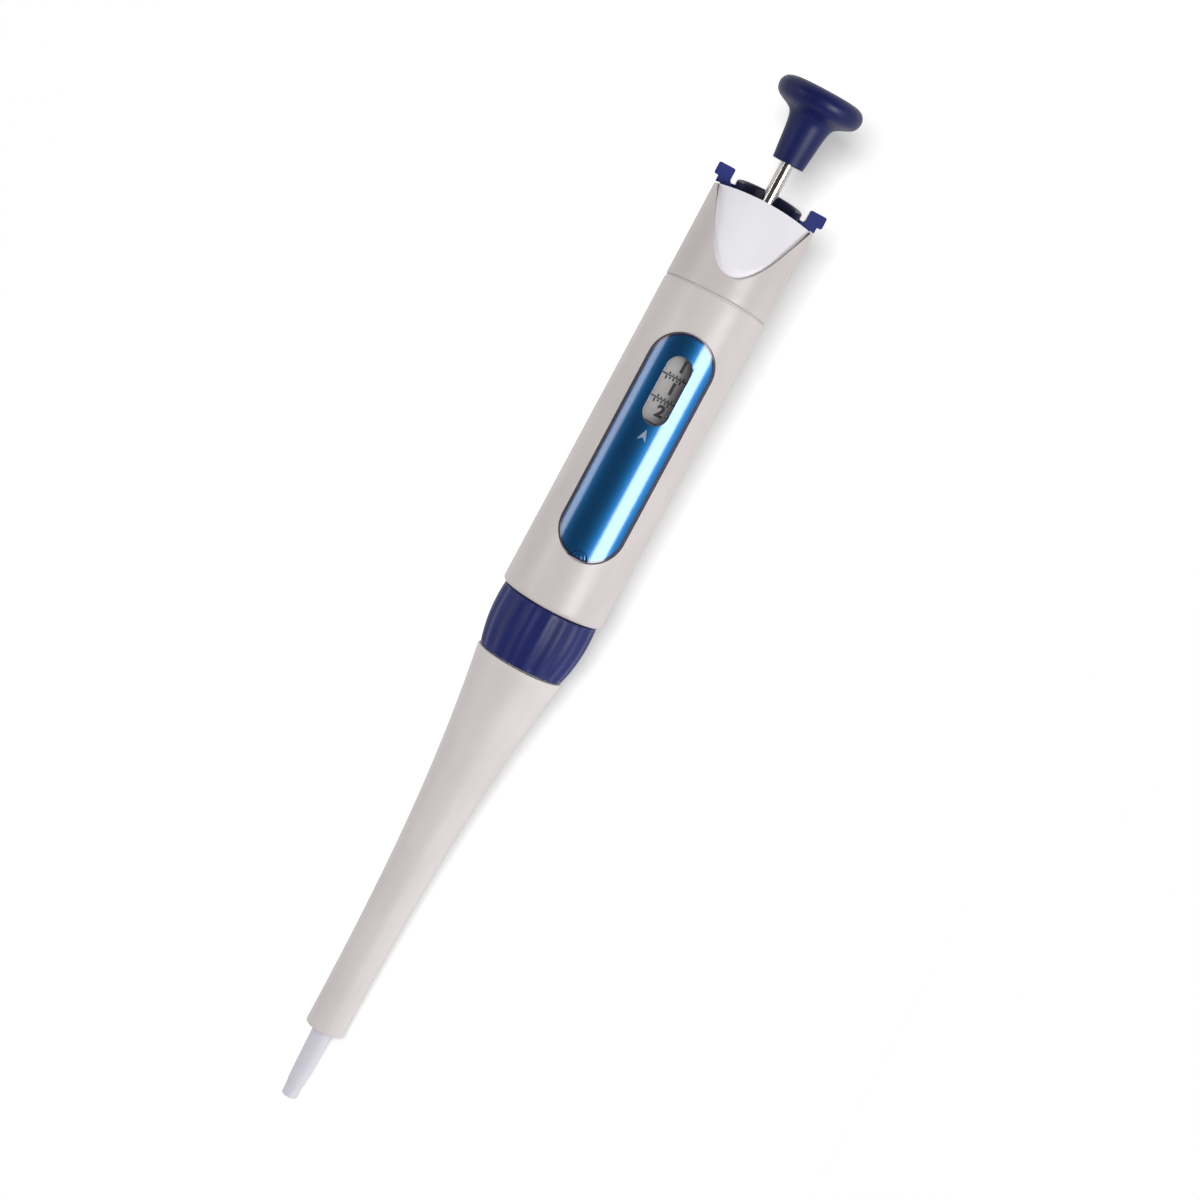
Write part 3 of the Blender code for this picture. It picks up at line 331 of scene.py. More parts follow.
@dataclass(frozen=True)
class Foil:
    """The label: metallic blue film with a painted dark band of shade along its edge, under a clear hard
    coat.
    """

    name: str
    colour: Colour
    border: Colour
    width: float
    low: float
    high: float
    border_width: float = 0.55 * MM

    def made(self) -> bpy.types.Material:
        """Mixes the material."""
        bench = Bench(self.name)
        across, _, height = bench.place()
        radius = self.width / 2
        middle, straight = (self.low + self.high) / 2, (self.high - self.low) / 2 - radius
        beyond = ((height - middle).size() - straight).at_least(0.0)
        edge = radius - (across * across + beyond * beyond) ** 0.5
        # painted shade: a dark, duller band along the label's edge stands in for the shade of the gap round
        # it
        painted_edge_shade = edge.rise(self.border_width, self.border_width * 0.75)
        flake = bench.noise(0.12 * MM, detail=2.0)
        cloud = bench.noise(6 * MM, (1.0, 1.0, 2.0), 3.0)
        colour = bench.tint(cloud.rise(0.3, 0.7), self.colour, darker(self.colour, 0.12))
        colour = bench.tint(flake.rise(0.55, 0.8) * 0.2, colour, paler(self.colour, 0.18))
        colour = bench.tint(painted_edge_shade, colour, self.border)
        rough = 0.38 + cloud * 0.06 + painted_edge_shade * 0.1
        values = {"Base Color": colour, "Metallic": 0.9 - painted_edge_shade * 0.5, "Roughness": rough}
        values |= {"Coat Weight": 1.0, "Coat Roughness": 0.15, "Coat IOR": 1.7}
        values["Normal"] = bench.relief(flake, 1.2e-6)
        return bench.shade(values)


@dataclass(frozen=True)
class Clear:
    """Clear plastic: hardly seen face on, with a painted reflection that makes it more opaque and brighter
    towards its edges.
    """

    name: str
    colour: Colour

    def made(self) -> bpy.types.Material:
        """Mixes the material."""
        bench = Bench(self.name)
        # painted reflection: the pane grows more opaque towards its grazing edges
        rim = bench.signal("ShaderNodeLayerWeight", {}, {"Blend": 0.3}, "Facing")
        haze = bench.noise(3 * MM, detail=4.0).rise(0.45, 0.75)
        colour = bench.tint(haze * 0.3, self.colour, paler(self.colour, 0.5))
        rough = 0.06 + haze * 0.06
        alpha = 0.05 + rim * 0.4 + haze * 0.02
        return bench.shade({"Base Color": colour, "Roughness": rough, "Alpha": alpha, "IOR": 1.49})


@dataclass(frozen=True)
class Ink:
    """Printed ink, a little worn through."""

    name: str
    colour: Colour
    under: Colour
    worn: float = 0.25

    def made(self) -> bpy.types.Material:
        """Mixes the material."""
        bench = Bench(self.name)
        worn = bench.noise(0.35 * MM, detail=5.0).rise(0.56, 0.8)
        colour = bench.tint(worn * self.worn, self.colour, self.under)
        return bench.shade({"Base Color": colour, "Roughness": 0.45 + worn * 0.2})


def rounded(corners: Sequence[Corner], turn: float = math.radians(14)) -> list[Point]:
    """An outline whose corners are rounded.

    Args:
        corners: each corner and its radius.
        turn: the most that one step of a rounding turns.

    Returns:
        The outline's points.
    """
    points: list[Point] = []
    count = len(corners)
    for index, (x, z, radius) in enumerate(corners):
        corner = Vector((x, z))
        if radius <= 0:
            points.append((x, z))
            continue
        before = (Vector(corners[index - 1][:2]) - corner).normalized()
        after = (Vector(corners[(index + 1) % count][:2]) - corner).normalized()
        between = before.angle(after)
        half = between / 2
        centre = corner + (before + after).normalized() * (radius / math.sin(half))
        start = corner + before * (radius / math.tan(half)) - centre
        finish = corner + after * (radius / math.tan(half)) - centre
        swing = start.angle_signed(finish)
        steps = max(2, math.ceil(abs(swing) / turn))
        for step in range(steps + 1):
            arm = start.copy()
            arm.rotate(Matrix.Rotation(-swing * step / steps, 2))
            points.append(tuple(centre + arm))
    return points


def flowing(points: Sequence[Point], steps: int = 6) -> list[Point]:
    """A smooth line through points.

    Args:
        points: what the line passes through.
        steps: how many pieces each stretch is cut into.

    Returns:
        The line's points.
    """
    knots = [Vector(point) for point in points]
    knots = [knots[0] * 2 - knots[1], *knots, knots[-1] * 2 - knots[-2]]
    line: list[Point] = []
    for a, b, c, d in zip(knots, knots[1:], knots[2:], knots[3:]):
        for step in range(steps):
            t = step / steps
            line.append(tuple(0.5 * (2 * b + (c - a) * t + (2 * a - 5 * b + 4 * c - d) * t**2
                                     + (3 * b - a - 3 * c + d) * t**3)))
    return [*line, tuple(points[-1])]


def arc(radius: float, middle: float, steps: int, start: float = 0.0, turn: float = math.pi) -> list[Point]:
    """Places on an arc round a point of the axis.

    Args:
        radius: the arc's radius.
        middle: the height of its centre.
        steps: how many steps it has.
        start: the angle that it starts at, from +X towards the top.
        turn: how far it goes round.

    Returns:
        The places, both ends with them.
    """
    angles = [start + turn * step / steps for step in range(steps + 1)]
    return [(radius * math.cos(angle), middle + radius * math.sin(angle)) for angle in angles]


def stadium(width: float, low: float, high: float, steps: int = 28) -> list[Point]:
    """A slot's outline: two straight sides and two round ends.

    Args:
        width: across the sides.
        low: the lower end's height.
        high: the upper end's height.
        steps: how many steps each round end has.

    Returns:
        The outline's points, from the lower right and round by the top.
    """
    radius = width / 2
    return [*arc(radius, high - radius, steps), *arc(radius, low + radius, steps, math.pi)]


def at_front(outline: Sequence[Point], y: float) -> list[Place]:
    """An outline of x and z, set upright at a depth."""
    return [(x, y, z) for x, z in outline]


class Hands:
    """The moves that the pieces are modelled with."""

    @staticmethod
    def let_go() -> None:
        """Leaves edit mode and deselects everything."""
        if bpy.context.object and bpy.context.object.mode != "OBJECT":
            bpy.ops.object.mode_set(mode="OBJECT")
        bpy.ops.object.select_all(action="DESELECT")

    @classmethod
    def take(cls, *pieces: Piece) -> None:
        """Selects pieces alone, the first of them active."""
        cls.let_go()
        for piece in pieces:
            piece.select_set(True)
        bpy.context.view_layer.objects.active = pieces[0]

    @classmethod
    def line(cls, name: str, points: Sequence[Place], closed: bool = True) -> Piece:
        """Draws a line by extruding a point, and stays in edit mode.

        Args:
            name: the piece's name.
            points: the places that the line passes.
            closed: whether its ends are joined.

        Returns:
            The piece.
        """
        cls.let_go()
        bpy.ops.mesh.primitive_plane_add(size=MM)
        piece = bpy.context.object
        piece.name = piece.data.name = name
        bpy.ops.object.mode_set(mode="EDIT")
        bpy.ops.mesh.select_mode(type="VERT")
        bpy.ops.mesh.select_all(action="SELECT")
        bpy.ops.mesh.merge(type="CENTER")
        bpy.ops.transform.translate(value=points[0])
        for before, after in zip(points, points[1:]):
            step = tuple(Vector(after) - Vector(before))
            bpy.ops.mesh.extrude_vertices_move(TRANSFORM_OT_translate={"value": step})
        if closed:
            drawn = bmesh.from_edit_mesh(piece.data)
            drawn.verts.ensure_lookup_table()
            for vertex in drawn.verts:
                vertex.select = len(vertex.link_edges) == 1
            drawn.select_flush_mode()
            bmesh.update_edit_mesh(piece.data)
            bpy.ops.mesh.edge_face_add()
        bpy.ops.mesh.select_all(action="SELECT")
        return piece

    @classmethod
    def turned(cls, name: str, outline: Sequence[Point], steps: int = 96, closed: bool = True) -> Piece:
        """Turns an outline of radius and height round Z.

        Args:
            name: the piece's name.
            outline: its points.
            steps: how many sides the turned piece has.
            closed: whether the outline's ends are joined; if not, both lie on the axis.

        Returns:
            The piece.
        """
        piece = cls.line(name, [(radius, 0.0, height) for radius, height in outline], closed)
        bpy.ops.mesh.spin(steps=steps, angle=math.tau, center=(0, 0, 0), axis=(0, 0, 1))
        cls.closed_up()
        return piece

    @staticmethod
    def closed_up() -> None:
        """Merges doubles, turns the faces outwards and leaves edit mode."""
        bpy.ops.mesh.select_all(action="SELECT")
        bpy.ops.mesh.remove_doubles(threshold=1e-6)
        bpy.ops.mesh.normals_make_consistent(inside=False)
        bpy.ops.object.mode_set(mode="OBJECT")

    @classmethod
    def slab(cls, name: str, points: Sequence[Place], through: Place) -> Piece:
        """Extrudes a flat outline into a slab.

        Args:
            name: the piece's name.
            points: the outline's places.
            through: the way and distance that it is extruded.

        Returns:
            The piece.
        """
        piece = cls.line(name, points)
        bpy.ops.mesh.edge_face_add()
        bpy.ops.mesh.extrude_region_move(TRANSFORM_OT_translate={"value": through})
        cls.closed_up()
        return piece

    @classmethod
    def apply(cls, piece: Piece, kind: str, settings: dict) -> Piece:
        """Adds a modifier to a piece and applies it.

        Args:
            piece: the piece.
            kind: the modifier's type.
            settings: its settings.

        Returns:
            The piece.
        """
        modifier = piece.modifiers.new(kind.title(), kind)
        for key, value in settings.items():
            setattr(modifier, key, value)
        cls.take(piece)
        bpy.ops.object.modifier_apply(modifier=modifier.name)
        return piece

    @classmethod
    def combine(cls, piece: Piece, tool: Piece, how: Join = Join.CUT) -> Piece:
        """Cuts a piece with another, joins it on or keeps what they share; the other is used up."""
        cls.apply(piece, "BOOLEAN", {"operation": how.value, "object": tool, "solver": "EXACT"})
        bpy.data.objects.remove(tool)
        return piece

    @classmethod
    def soften(cls, piece: Piece, width: float, angle: float = 40.0, segments: int = 3) -> Piece:
        """Rounds a piece's sharp edges.

        Args:
            piece: the piece.
            width: how far from the edge the rounding reaches.
            angle: the least angle, in degrees, of an edge that is rounded.
            segments: how many steps the rounding has.

        Returns:
            The piece.
        """
        settings = {"width": width, "segments": segments, "limit_method": "ANGLE"}
        return cls.apply(piece, "BEVEL", settings | {"angle_limit": math.radians(angle)})

    @classmethod
    def smooth(cls, piece: Piece, angle: float = 32.0) -> Piece:
        """Shades a piece smooth, but for edges sharper than an angle in degrees."""
        cls.take(piece)
        bpy.ops.object.shade_smooth_by_angle(angle=math.radians(angle))
        return piece

    @classmethod
    def even(cls, piece: Piece) -> Piece:
        """Lets a piece's large faces keep their shading flat up to its rounded edges."""
        return cls.apply(piece, "WEIGHTED_NORMAL", {"mode": "FACE_AREA", "weight": 80, "keep_sharp": True})

    @classmethod
    def sliced(cls, piece: Piece, places: Sequence[float], way: Place = (1, 0, 0)) -> Piece:
        """Cuts a piece's faces along parallel planes, so that it can be curved.

        Args:
            piece: the piece.
            places: the planes' places along the way they face.
            way: the way they face.

        Returns:
            The piece.
        """
        cls.take(piece)
        bpy.ops.object.mode_set(mode="EDIT")
        for place in places:
            bpy.ops.mesh.select_all(action="SELECT")
            bpy.ops.mesh.bisect(plane_co=Vector(way) * place, plane_no=way)
        bpy.ops.object.mode_set(mode="OBJECT")
        return piece

    @staticmethod
    def moved(piece: Piece, rule: Callable[[Vector], Vector]) -> Piece:
        """Moves each vertex of a piece by a rule."""
        for vertex in piece.data.vertices:
            vertex.co = rule(vertex.co)
        piece.data.update()
        return piece

    @classmethod
    def joined(cls, name: str, pieces: Sequence[Piece]) -> Piece:
        """Joins pieces into one object."""
        cls.take(*pieces)
        bpy.ops.object.join()
        piece = bpy.context.object
        piece.name = piece.data.name = name
        return piece

    @staticmethod
    def dress(piece: Piece, finish: bpy.types.Material, slot: Slot, body: str, *nodes: str) -> Piece:
        """Gives a piece its finish, lets it ride on a body, and stands it for CAD nodes.

        Args:
            piece: the piece.
            finish: its material.
            slot: the record's slot that the finish comes from; not used.
            body: the CAD body that it rides on.
            nodes: the CAD nodes that it replaces.

        Returns:
            The piece.
        """
        piece.data.materials.clear()
        piece.data.materials.append(finish)
        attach(piece, body)
        if nodes:
            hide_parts(*nodes)
        LOG.info("%s rides on %s, %d faces", piece.name, body, len(piece.data.polygons))
        return piece


def on_tube(spot: Vector) -> Vector:
    """Moves a place of a flat piece straight back on to a tube whose radius is the place's own depth."""
    return Vector((spot.x, -math.sqrt(max(spot.y**2 - spot.x**2, 0.0)), spot.z))


@dataclass
class ThumbKnob:
    """The mushroom-shaped knob that the thumb presses."""

    bottom: float = 228.1 * MM
    bore: float = 1.8 * MM
    bore_depth: float = 8.3 * MM

    def profile(self) -> list[Point]:
        """The knob's outline, from the crown's centre to the end of the rod's hole."""
        crown = [(0.0, 245.0), (3.0, 244.99), (5.6, 244.95), (7.4, 244.78), (8.7, 244.25), (9.42, 243.35)]
        crown += [(9.62, 242.3), (9.32, 241.1), (8.6, 240.25), (7.4, 239.6), (6.1, 239.0), (5.15, 238.3)]
        crown += [(4.68, 237.3), (4.4, 235.9), (4.14, 234.0), (3.88, 231.5), (3.66, 229.4), (3.55, 228.45)]
        outline = [(r * MM, z * MM) for r, z in flowing(crown, 4)]
        bore_end = self.bottom + self.bore_depth
        foot = rounded([(3.55 * MM, self.bottom + 0.3 * MM, 0), (3.52 * MM, self.bottom, 0.22 * MM),
                        (self.bore, self.bottom, 0.15 * MM), (self.bore, bore_end, 0)])[1:]
        return [*outline, *foot, (0.0, bore_end)]

    def build(self, navy: bpy.types.Material) -> None:
        """Makes the knob and dresses it."""
        knob = Hands.smooth(Hands.turned("knob", self.profile(), 128, closed=False))
        Hands.dress(knob, navy, Slot.NAVY, "plunger", "thumb_knob")


@dataclass
class PlungerRod:
    """The polished rod between the knob and the stop collar."""

    radius: float = 1.5 * MM
    low: float = 155.3 * MM
    high: float = 236.1 * MM

    def build(self, steel: bpy.types.Material) -> None:
        """Makes the rod and dresses it."""
        bevel = 0.2 * MM
        outline = [(0.0, self.high), (self.radius - bevel, self.high), (self.radius, self.high - bevel)]
        span = self.high - self.low - 2 * bevel
        outline += [(self.radius, self.high - bevel - span * part / 8) for part in range(1, 9)]
        outline += [(self.radius - bevel, self.low), (0.0, self.low)]
        rod = Hands.smooth(Hands.turned("rod", outline, 64, closed=False))
        Hands.dress(rod, steel, Slot.STEEL, "plunger", "plunger_rod")


@dataclass
class Shape:
    """The heights and slopes that the handle, the cap and the deck share."""

    radius: float = 11.65 * MM
    seam: float = 197.4 * MM
    rim: float = 217.7 * MM
    crown: float = 1.3 * MM
    seam_tilt: float = math.tan(math.radians(7.0))
    pad_foot: float = 202.0 * MM
    pad_slope: float = math.tan(math.radians(18.2))
    opening_slope: float = 1.06
    flare: float = 2.1 * MM
    pad_belly: float = 0.0138 / MM
    pad_barrel: float = 32.0 * MM
    pad_thickness: float = 1.2 * MM

    def drop(self, spot: Vector) -> float:
        """How far the seam falls behind the front edge at a place."""
        return (spot.y + self.radius) * self.seam_tilt

    def lift(self, x: float) -> float:
        """How far the arched top rises over the rim at a place across."""
        return self.crown * (1.0 - (x / self.radius) ** 2)

    def opening(self, height: float) -> float:
        """Half the width of the cap's opening at a height."""
        over = max(height - self.pad_foot, 0.0) / (self.rim - self.pad_foot)
        slope = (height - self.pad_foot) * self.pad_slope * self.opening_slope
        depth = self.radius - slope - self.flare * min(over, 1.0) ** 5
        return math.sqrt(max(self.radius**2 - max(depth, 0.0) ** 2, 0.0))

    def belly(self, x: float, height: float) -> float:
        """How far the pad's upper end falls back towards its sides."""
        over = min(max((height - self.pad_foot) / (self.rim - self.pad_foot), 0.0), 1.0)
        return x**2 * self.pad_belly * over**4

    def pad_depth(self) -> float:
        """How thick the sloped pad is from front to back."""
        return self.pad_thickness / math.cos(math.atan(self.pad_slope))


@dataclass
class UpperCap:
    """The grey shell round the pad, with its arched top and U-shaped opening."""

    shape: Shape
    bore: float = 10.95 * MM
    screw_height: float = 207.0 * MM
    screw_hole: float = 1.3 * MM

    def bent(self, spot: Vector) -> Vector:
        """Tilts the lower edge to the seam and arches the upper one."""
        low, high = self.shape.seam + GAP, self.shape.rim
        share = (spot.z - low) / (high - low)
        down = self.shape.drop(spot) * (1.0 - share)
        return Vector((spot.x, spot.y, spot.z - down + self.shape.lift(spot.x) * share))

    def build(self, grey: bpy.types.Material) -> None:
        """Makes the shell and dresses it."""
        low, high = self.shape.seam + GAP, self.shape.rim
        outside = [(self.shape.radius, high - (high - low) * part / 10, 0.0) for part in range(1, 10)]
        corners = [(self.shape.radius, high, 0.22 * MM), *outside, (self.shape.radius, low, 0.4 * MM)]
        corners += [(self.bore, low, 0.1 * MM), (self.bore, high, 0.12 * MM)]
        cap = Hands.moved(Hands.turned("cap_shell", rounded(corners), 160), self.bent)
        foot, steps = self.shape.pad_foot, 26
        reach = high + 4 * MM - foot
        heights = [foot + reach * (step / steps) ** 2 for step in range(steps + 1)]
        right = [(self.shape.opening(z), z) for z in heights]
        outline = [*right, *[(-x, z) for x, z in reversed(right[1:])]]
        Hands.combine(cap, Hands.slab("opening", at_front(outline, 0.0), (0, -16 * MM, 0)))
        Hands.combine(cap, self.screw_way())
        Hands.even(Hands.smooth(Hands.soften(cap, 0.14 * MM, 50.0, 3)))
        Hands.dress(cap, grey, Slot.GREY, "pipette_body", "upper_cap")

    def screw_way(self) -> Piece:
        """The round cutter for the finger rest's screw."""
        hole = arc(self.screw_hole, self.screw_height, 32, turn=math.tau)[:-1]
        return Hands.slab("screw_way", at_front(hole, 6 * MM), (0, 10 * MM, 0))


@dataclass
class ThumbPad:
    """The white sloped pad that pushes the tip ejector."""

    shape: Shape
    radius: float = 10.9 * MM
    proud: float = 0.65 * MM
    rows: int = 12
    columns: int = 64
    arch_steps: int = 48

    def face(self, x: float, z: float) -> float:
        """The depth of the pad's face at a place."""
        slope = (z - self.shape.pad_foot) * self.shape.pad_slope
        return -self.radius - self.proud + slope + x**2 / (2 * self.shape.pad_barrel)

    def build(self, white: bpy.types.Material) -> None:
        """Makes the pad and dresses it."""
        low, high = self.shape.pad_foot - 0.8 * MM, self.shape.rim + 3 * MM
        half = self.radius + MM
        across = [-half + 2 * half * step / self.columns for step in range(self.columns + 1)]
        front = [(x, self.face(x, low), low) for x in across]
        behind = [(x, self.face(x, low) + self.shape.pad_depth(), low) for x in reversed(across)]
        rise = high - low
        pad = Hands.slab("pad", [*front, *behind], (0.0, rise * self.shape.pad_slope, rise))
        Hands.sliced(pad, [low + rise * row / self.rows for row in range(1, self.rows)], (0, 0, 1))
        Hands.moved(pad, lambda spot: spot + Vector((0.0, self.shape.belly(spot.x, spot.z), 0.0)))
        round_side = [(self.radius, high + MM), (self.radius, low - MM)]
        side = Hands.turned("pad_side", [(0.0, high + MM), *round_side, (0.0, low - MM)], 192, closed=False)
        Hands.combine(pad, side, Join.KEEP)
        across = [half - 2 * half * step / self.arch_steps for step in range(self.arch_steps + 1)]
        arch = [(x, self.shape.rim + self.shape.lift(x)) for x in across]
        outline = [*arch, (-half, low - MM), (half, low - MM)]
        Hands.combine(pad, Hands.slab("pad_top", at_front(outline, -14 * MM), (0, 16 * MM, 0)), Join.KEEP)
        Hands.even(Hands.smooth(Hands.soften(pad, 0.3 * MM, 42.0, 3)))
        Hands.dress(pad, white, Slot.PAD, "ejector", "thumb_pad")


@dataclass
class TopDeck:
    """The blue top plate with its two lugs, and the dark collar that the knob's neck enters."""

    shape: Shape
    hole: float = 7.95 * MM
    spigot: float = 10.65 * MM
    spigot_bottom: float = 216.1 * MM
    edge: float = 0.5 * MM
    collar: float = 7.65 * MM
    collar_hole: float = 6.15 * MM
    collar_top: float = 220.42 * MM
    collar_middle: float = 218.5 * MM
    collar_tilt: float = 0.14
    collar_front: float = -2.0 * MM

    def arched(self, spot: Vector) -> Vector:
        """Lifts what lies over the rim with the cap's arch."""
        over = min(max((spot.z - self.spigot_bottom) / (self.shape.rim - self.spigot_bottom), 0.0), 1.0)
        return Vector((spot.x, spot.y, spot.z + self.shape.lift(spot.x) * over))

    def lug(self, side: Side) -> Piece:
        """One lug: a head that overhangs the cap, on a stem that flows into the plate."""
        corners = [(11.65, 218.25, 0.12), (11.65, 219.4, 0.2), (12.7, 219.4, 0.42), (12.7, 222.1, 0.42)]
        corners += [(8.9, 222.1, 0.42), (8.9, 219.7, 0.0), (8.75, 219.35, 0.0), (8.45, 219.05, 0.0)]
        corners += [(8.0, 218.9, 0.0), (8.0, 218.25, 0.0)]
        outline = [(x * MM * side.value, z * MM) for x, z in rounded(corners)]
        lug = Hands.slab("lug", at_front(outline, -3.5 * MM), (0, 7.0 * MM, 0))
        return Hands.soften(lug, 0.28 * MM, 60.0, 3)

    def front_edge(self) -> float:
        """The depth of the plate's front edge, just behind the pad."""
        shape = self.shape
        reach = -self.spigot + (shape.rim - shape.pad_foot) * shape.pad_slope
        reach += shape.belly(self.spigot, shape.rim)
        return reach + shape.pad_depth() + self.spigot**2 / (2 * shape.pad_barrel) + GAP

    @staticmethod
    def before(name: str, front: float) -> Piece:
        """The cutter for all that stands before a depth."""
        wide, low, high = 20 * MM, 210 * MM, 230 * MM
        corners = [(-wide, front, low), (wide, front, low), (wide, front, high), (-wide, front, high)]
        return Hands.slab(name, corners, (0, -wide, 0))

    def tilted(self, spot: Vector) -> Vector:
        """Lets the collar's top fall to the front."""
        tilt = self.collar_tilt if spot.z > self.collar_middle else 0.0
        return Vector((spot.x, spot.y, spot.z + tilt * spot.y))

    def build(self, blue: bpy.types.Material, dark: bpy.types.Material) -> None:
        """Makes the plate and the collar and dresses them."""
        under, over = self.shape.rim + GAP, self.shape.rim + GAP + self.edge
        corners = [(self.shape.radius, over, 0.15 * MM), (self.shape.radius, under, 0.12 * MM)]
        corners += [(self.spigot, under, 0.0), (self.spigot, self.spigot_bottom, 0.2 * MM)]
        corners += [(self.hole, self.spigot_bottom, 0.1 * MM), (self.hole, over, 0.12 * MM)]
        plate = Hands.moved(Hands.turned("deck", rounded(corners), 160), self.arched)
        for side in Side:
            Hands.combine(plate, self.lug(side), Join.ADD)
        Hands.combine(plate, self.before("deck_front", self.front_edge()))
        Hands.even(Hands.smooth(plate, 36.0))
        Hands.dress(plate, blue, Slot.BLUE, "pipette_body", "top_plate")
        low, high = self.spigot_bottom, self.collar_top
        corners = [(self.collar, high, 0.3 * MM), (self.collar, low, 0.15 * MM)]
        corners += [(self.collar_hole, low, 0.15 * MM), (self.collar_hole, high, 0.3 * MM)]
        ring = Hands.moved(Hands.turned("neck_ring", rounded(corners), 128), self.tilted)
        Hands.combine(ring, self.before("ring_front", self.collar_front))
        Hands.smooth(Hands.soften(ring, 0.25 * MM, 50.0, 3), 36.0)
        Hands.dress(ring, dark, Slot.DARK_NAVY, "pipette_body", "neck_collar")


@dataclass
class Handle:
    """The grey handle shell, the glossy label let into it, and the window over the counter."""

    shape: Shape
    bottom: float = 123.3 * MM
    floor: float = 126.0 * MM
    foot_radius: float = 11.8 * MM
    bore: float = 10.15 * MM
    cap_bore: float = 10.95 * MM
    neck_bore: float = 5.9 * MM
    seat: float = 193.4 * MM
    label_low: float = 135.6 * MM
    label_high: float = 188.0 * MM
    label_width: float = 14.0 * MM
    recess: float = 10.95 * MM
    label_inner: float = 11.25 * MM
    label_outer: float = 12.0 * MM
    window_low: float = 167.6 * MM
    window_high: float = 183.2 * MM
    window_width: float = 5.6 * MM
    lens: float = 1.2 * MM
    tongue: float = 0.28 * MM
    tongue_wall: float = 0.4 * MM
    notch: float = 2.1 * MM
    strip_near: float = 8.0 * MM
    strip_far: float = 9.5 * MM
    strip_half: float = 2.3 * MM
    rows: int = 16

    def tilted(self, spot: Vector) -> Vector:
        """Lets the top edge fall to the back, as the seam does."""
        share = min(max((spot.z - self.seat) / (self.shape.seam - self.seat), 0.0), 1.0)
        return Vector((spot.x, spot.y, spot.z - self.shape.drop(spot) * share))

    @staticmethod
    def through(name: str, outline: Sequence[Point]) -> Piece:
        """The cutter that takes an outline out of the handle's front."""
        return Hands.slab(name, at_front(outline, -5 * MM), (0, -10 * MM, 0))

    def shell(self) -> Piece:
        """The shell with its recess, window and the slots that the ejector's strips pass."""
        top = self.shape.seam
        corners = [(self.shape.radius, top, 0.28 * MM)]
        for row in range(self.rows + 1):
            height = top - 2 * MM - (top - 2 * MM - self.bottom - 2 * MM) * row / self.rows
            share = (top - height) / (top - self.bottom)
            corners.append((self.shape.radius + (self.foot_radius - self.shape.radius) * share, height, 0.0))
        corners += [(self.foot_radius, self.bottom, 0.9 * MM), (self.neck_bore, self.bottom, 0.2 * MM)]
        corners += [(self.neck_bore, self.floor, 0.0), (self.bore, self.floor, 0.3 * MM)]
        corners += [(self.bore, self.seat, 0.0), (self.cap_bore, self.seat, 0.0)]
        side, tip = self.cap_bore + self.tongue_wall, top + self.tongue
        corners += [(self.cap_bore, tip, 0.05 * MM), (side, tip, 0.05 * MM), (side, top, 0.0)]
        shell = Hands.moved(Hands.turned("handle", rounded(corners), 192), self.tilted)
        outline = stadium(self.label_width + 2 * GAP, self.label_low - GAP, self.label_high + GAP)
        block = self.through("recess", outline)
        low, high = self.label_low - 3 * MM, self.label_high + 3 * MM
        core = [(0.0, high), (self.recess, high), (self.recess, low), (0.0, low)]
        Hands.combine(block, Hands.turned("recess_floor", core, 192, closed=False))
        Hands.combine(shell, block)
        outline = stadium(self.window_width, self.window_low, self.window_high)
        Hands.combine(shell, self.through("window", outline))
        foot, rise = self.bottom - MM, self.floor - self.bottom + 2 * MM
        for side in Side:
            near, far, half = self.strip_near * side.value, self.strip_far * side.value, self.strip_half
            box = [(near, -half, foot), (far, -half, foot), (far, half, foot), (near, half, foot)]
            Hands.combine(shell, Hands.slab("strip_way", box, (0, 0, rise)))
        return shell

    def plate(self) -> Piece:
        """The label plate: a slot-shaped plate with a window and a nail notch, laid on the handle."""
        thick = self.label_outer - self.label_inner
        outline = stadium(self.label_width, self.label_low, self.label_high, 40)
        plate = Hands.slab("label", at_front(outline, -self.label_inner), (0, -thick, 0))
        outline = stadium(self.window_width, self.window_low, self.window_high, 32)
        Hands.combine(plate, self.through("label_window", outline))
        foot = self.label_low - 2 * MM
        outline = [*arc(self.notch, self.label_low, 24), (-self.notch, foot), (self.notch, foot)]
        Hands.combine(plate, self.through("notch", outline))
        Hands.soften(plate, 0.3 * MM, 50.0, 4)
        return self.curved(plate, self.label_width, 0.3 * MM)

    def curved(self, piece: Piece, width: float, step: float) -> Piece:
        """Slices a flat piece and lays it on the handle."""
        count = int(width / step)
        places = [-width / 2 + width * (number + 0.5) / count for number in range(count)]
        Hands.sliced(piece, places)
        return Hands.even(Hands.smooth(Hands.moved(piece, on_tube), 40.0))

    def pane(self) -> Piece:
        """The clear window pane, set in the wall behind the label."""
        outline = stadium(self.window_width - 2 * GAP, self.window_low + GAP, self.window_high - GAP, 32)
        pane = Hands.slab("pane", at_front(outline, -self.recess + self.lens), (0, -self.lens, 0))
        Hands.soften(pane, 0.15 * MM, 50.0, 2)
        return self.curved(pane, self.window_width, 0.3 * MM)

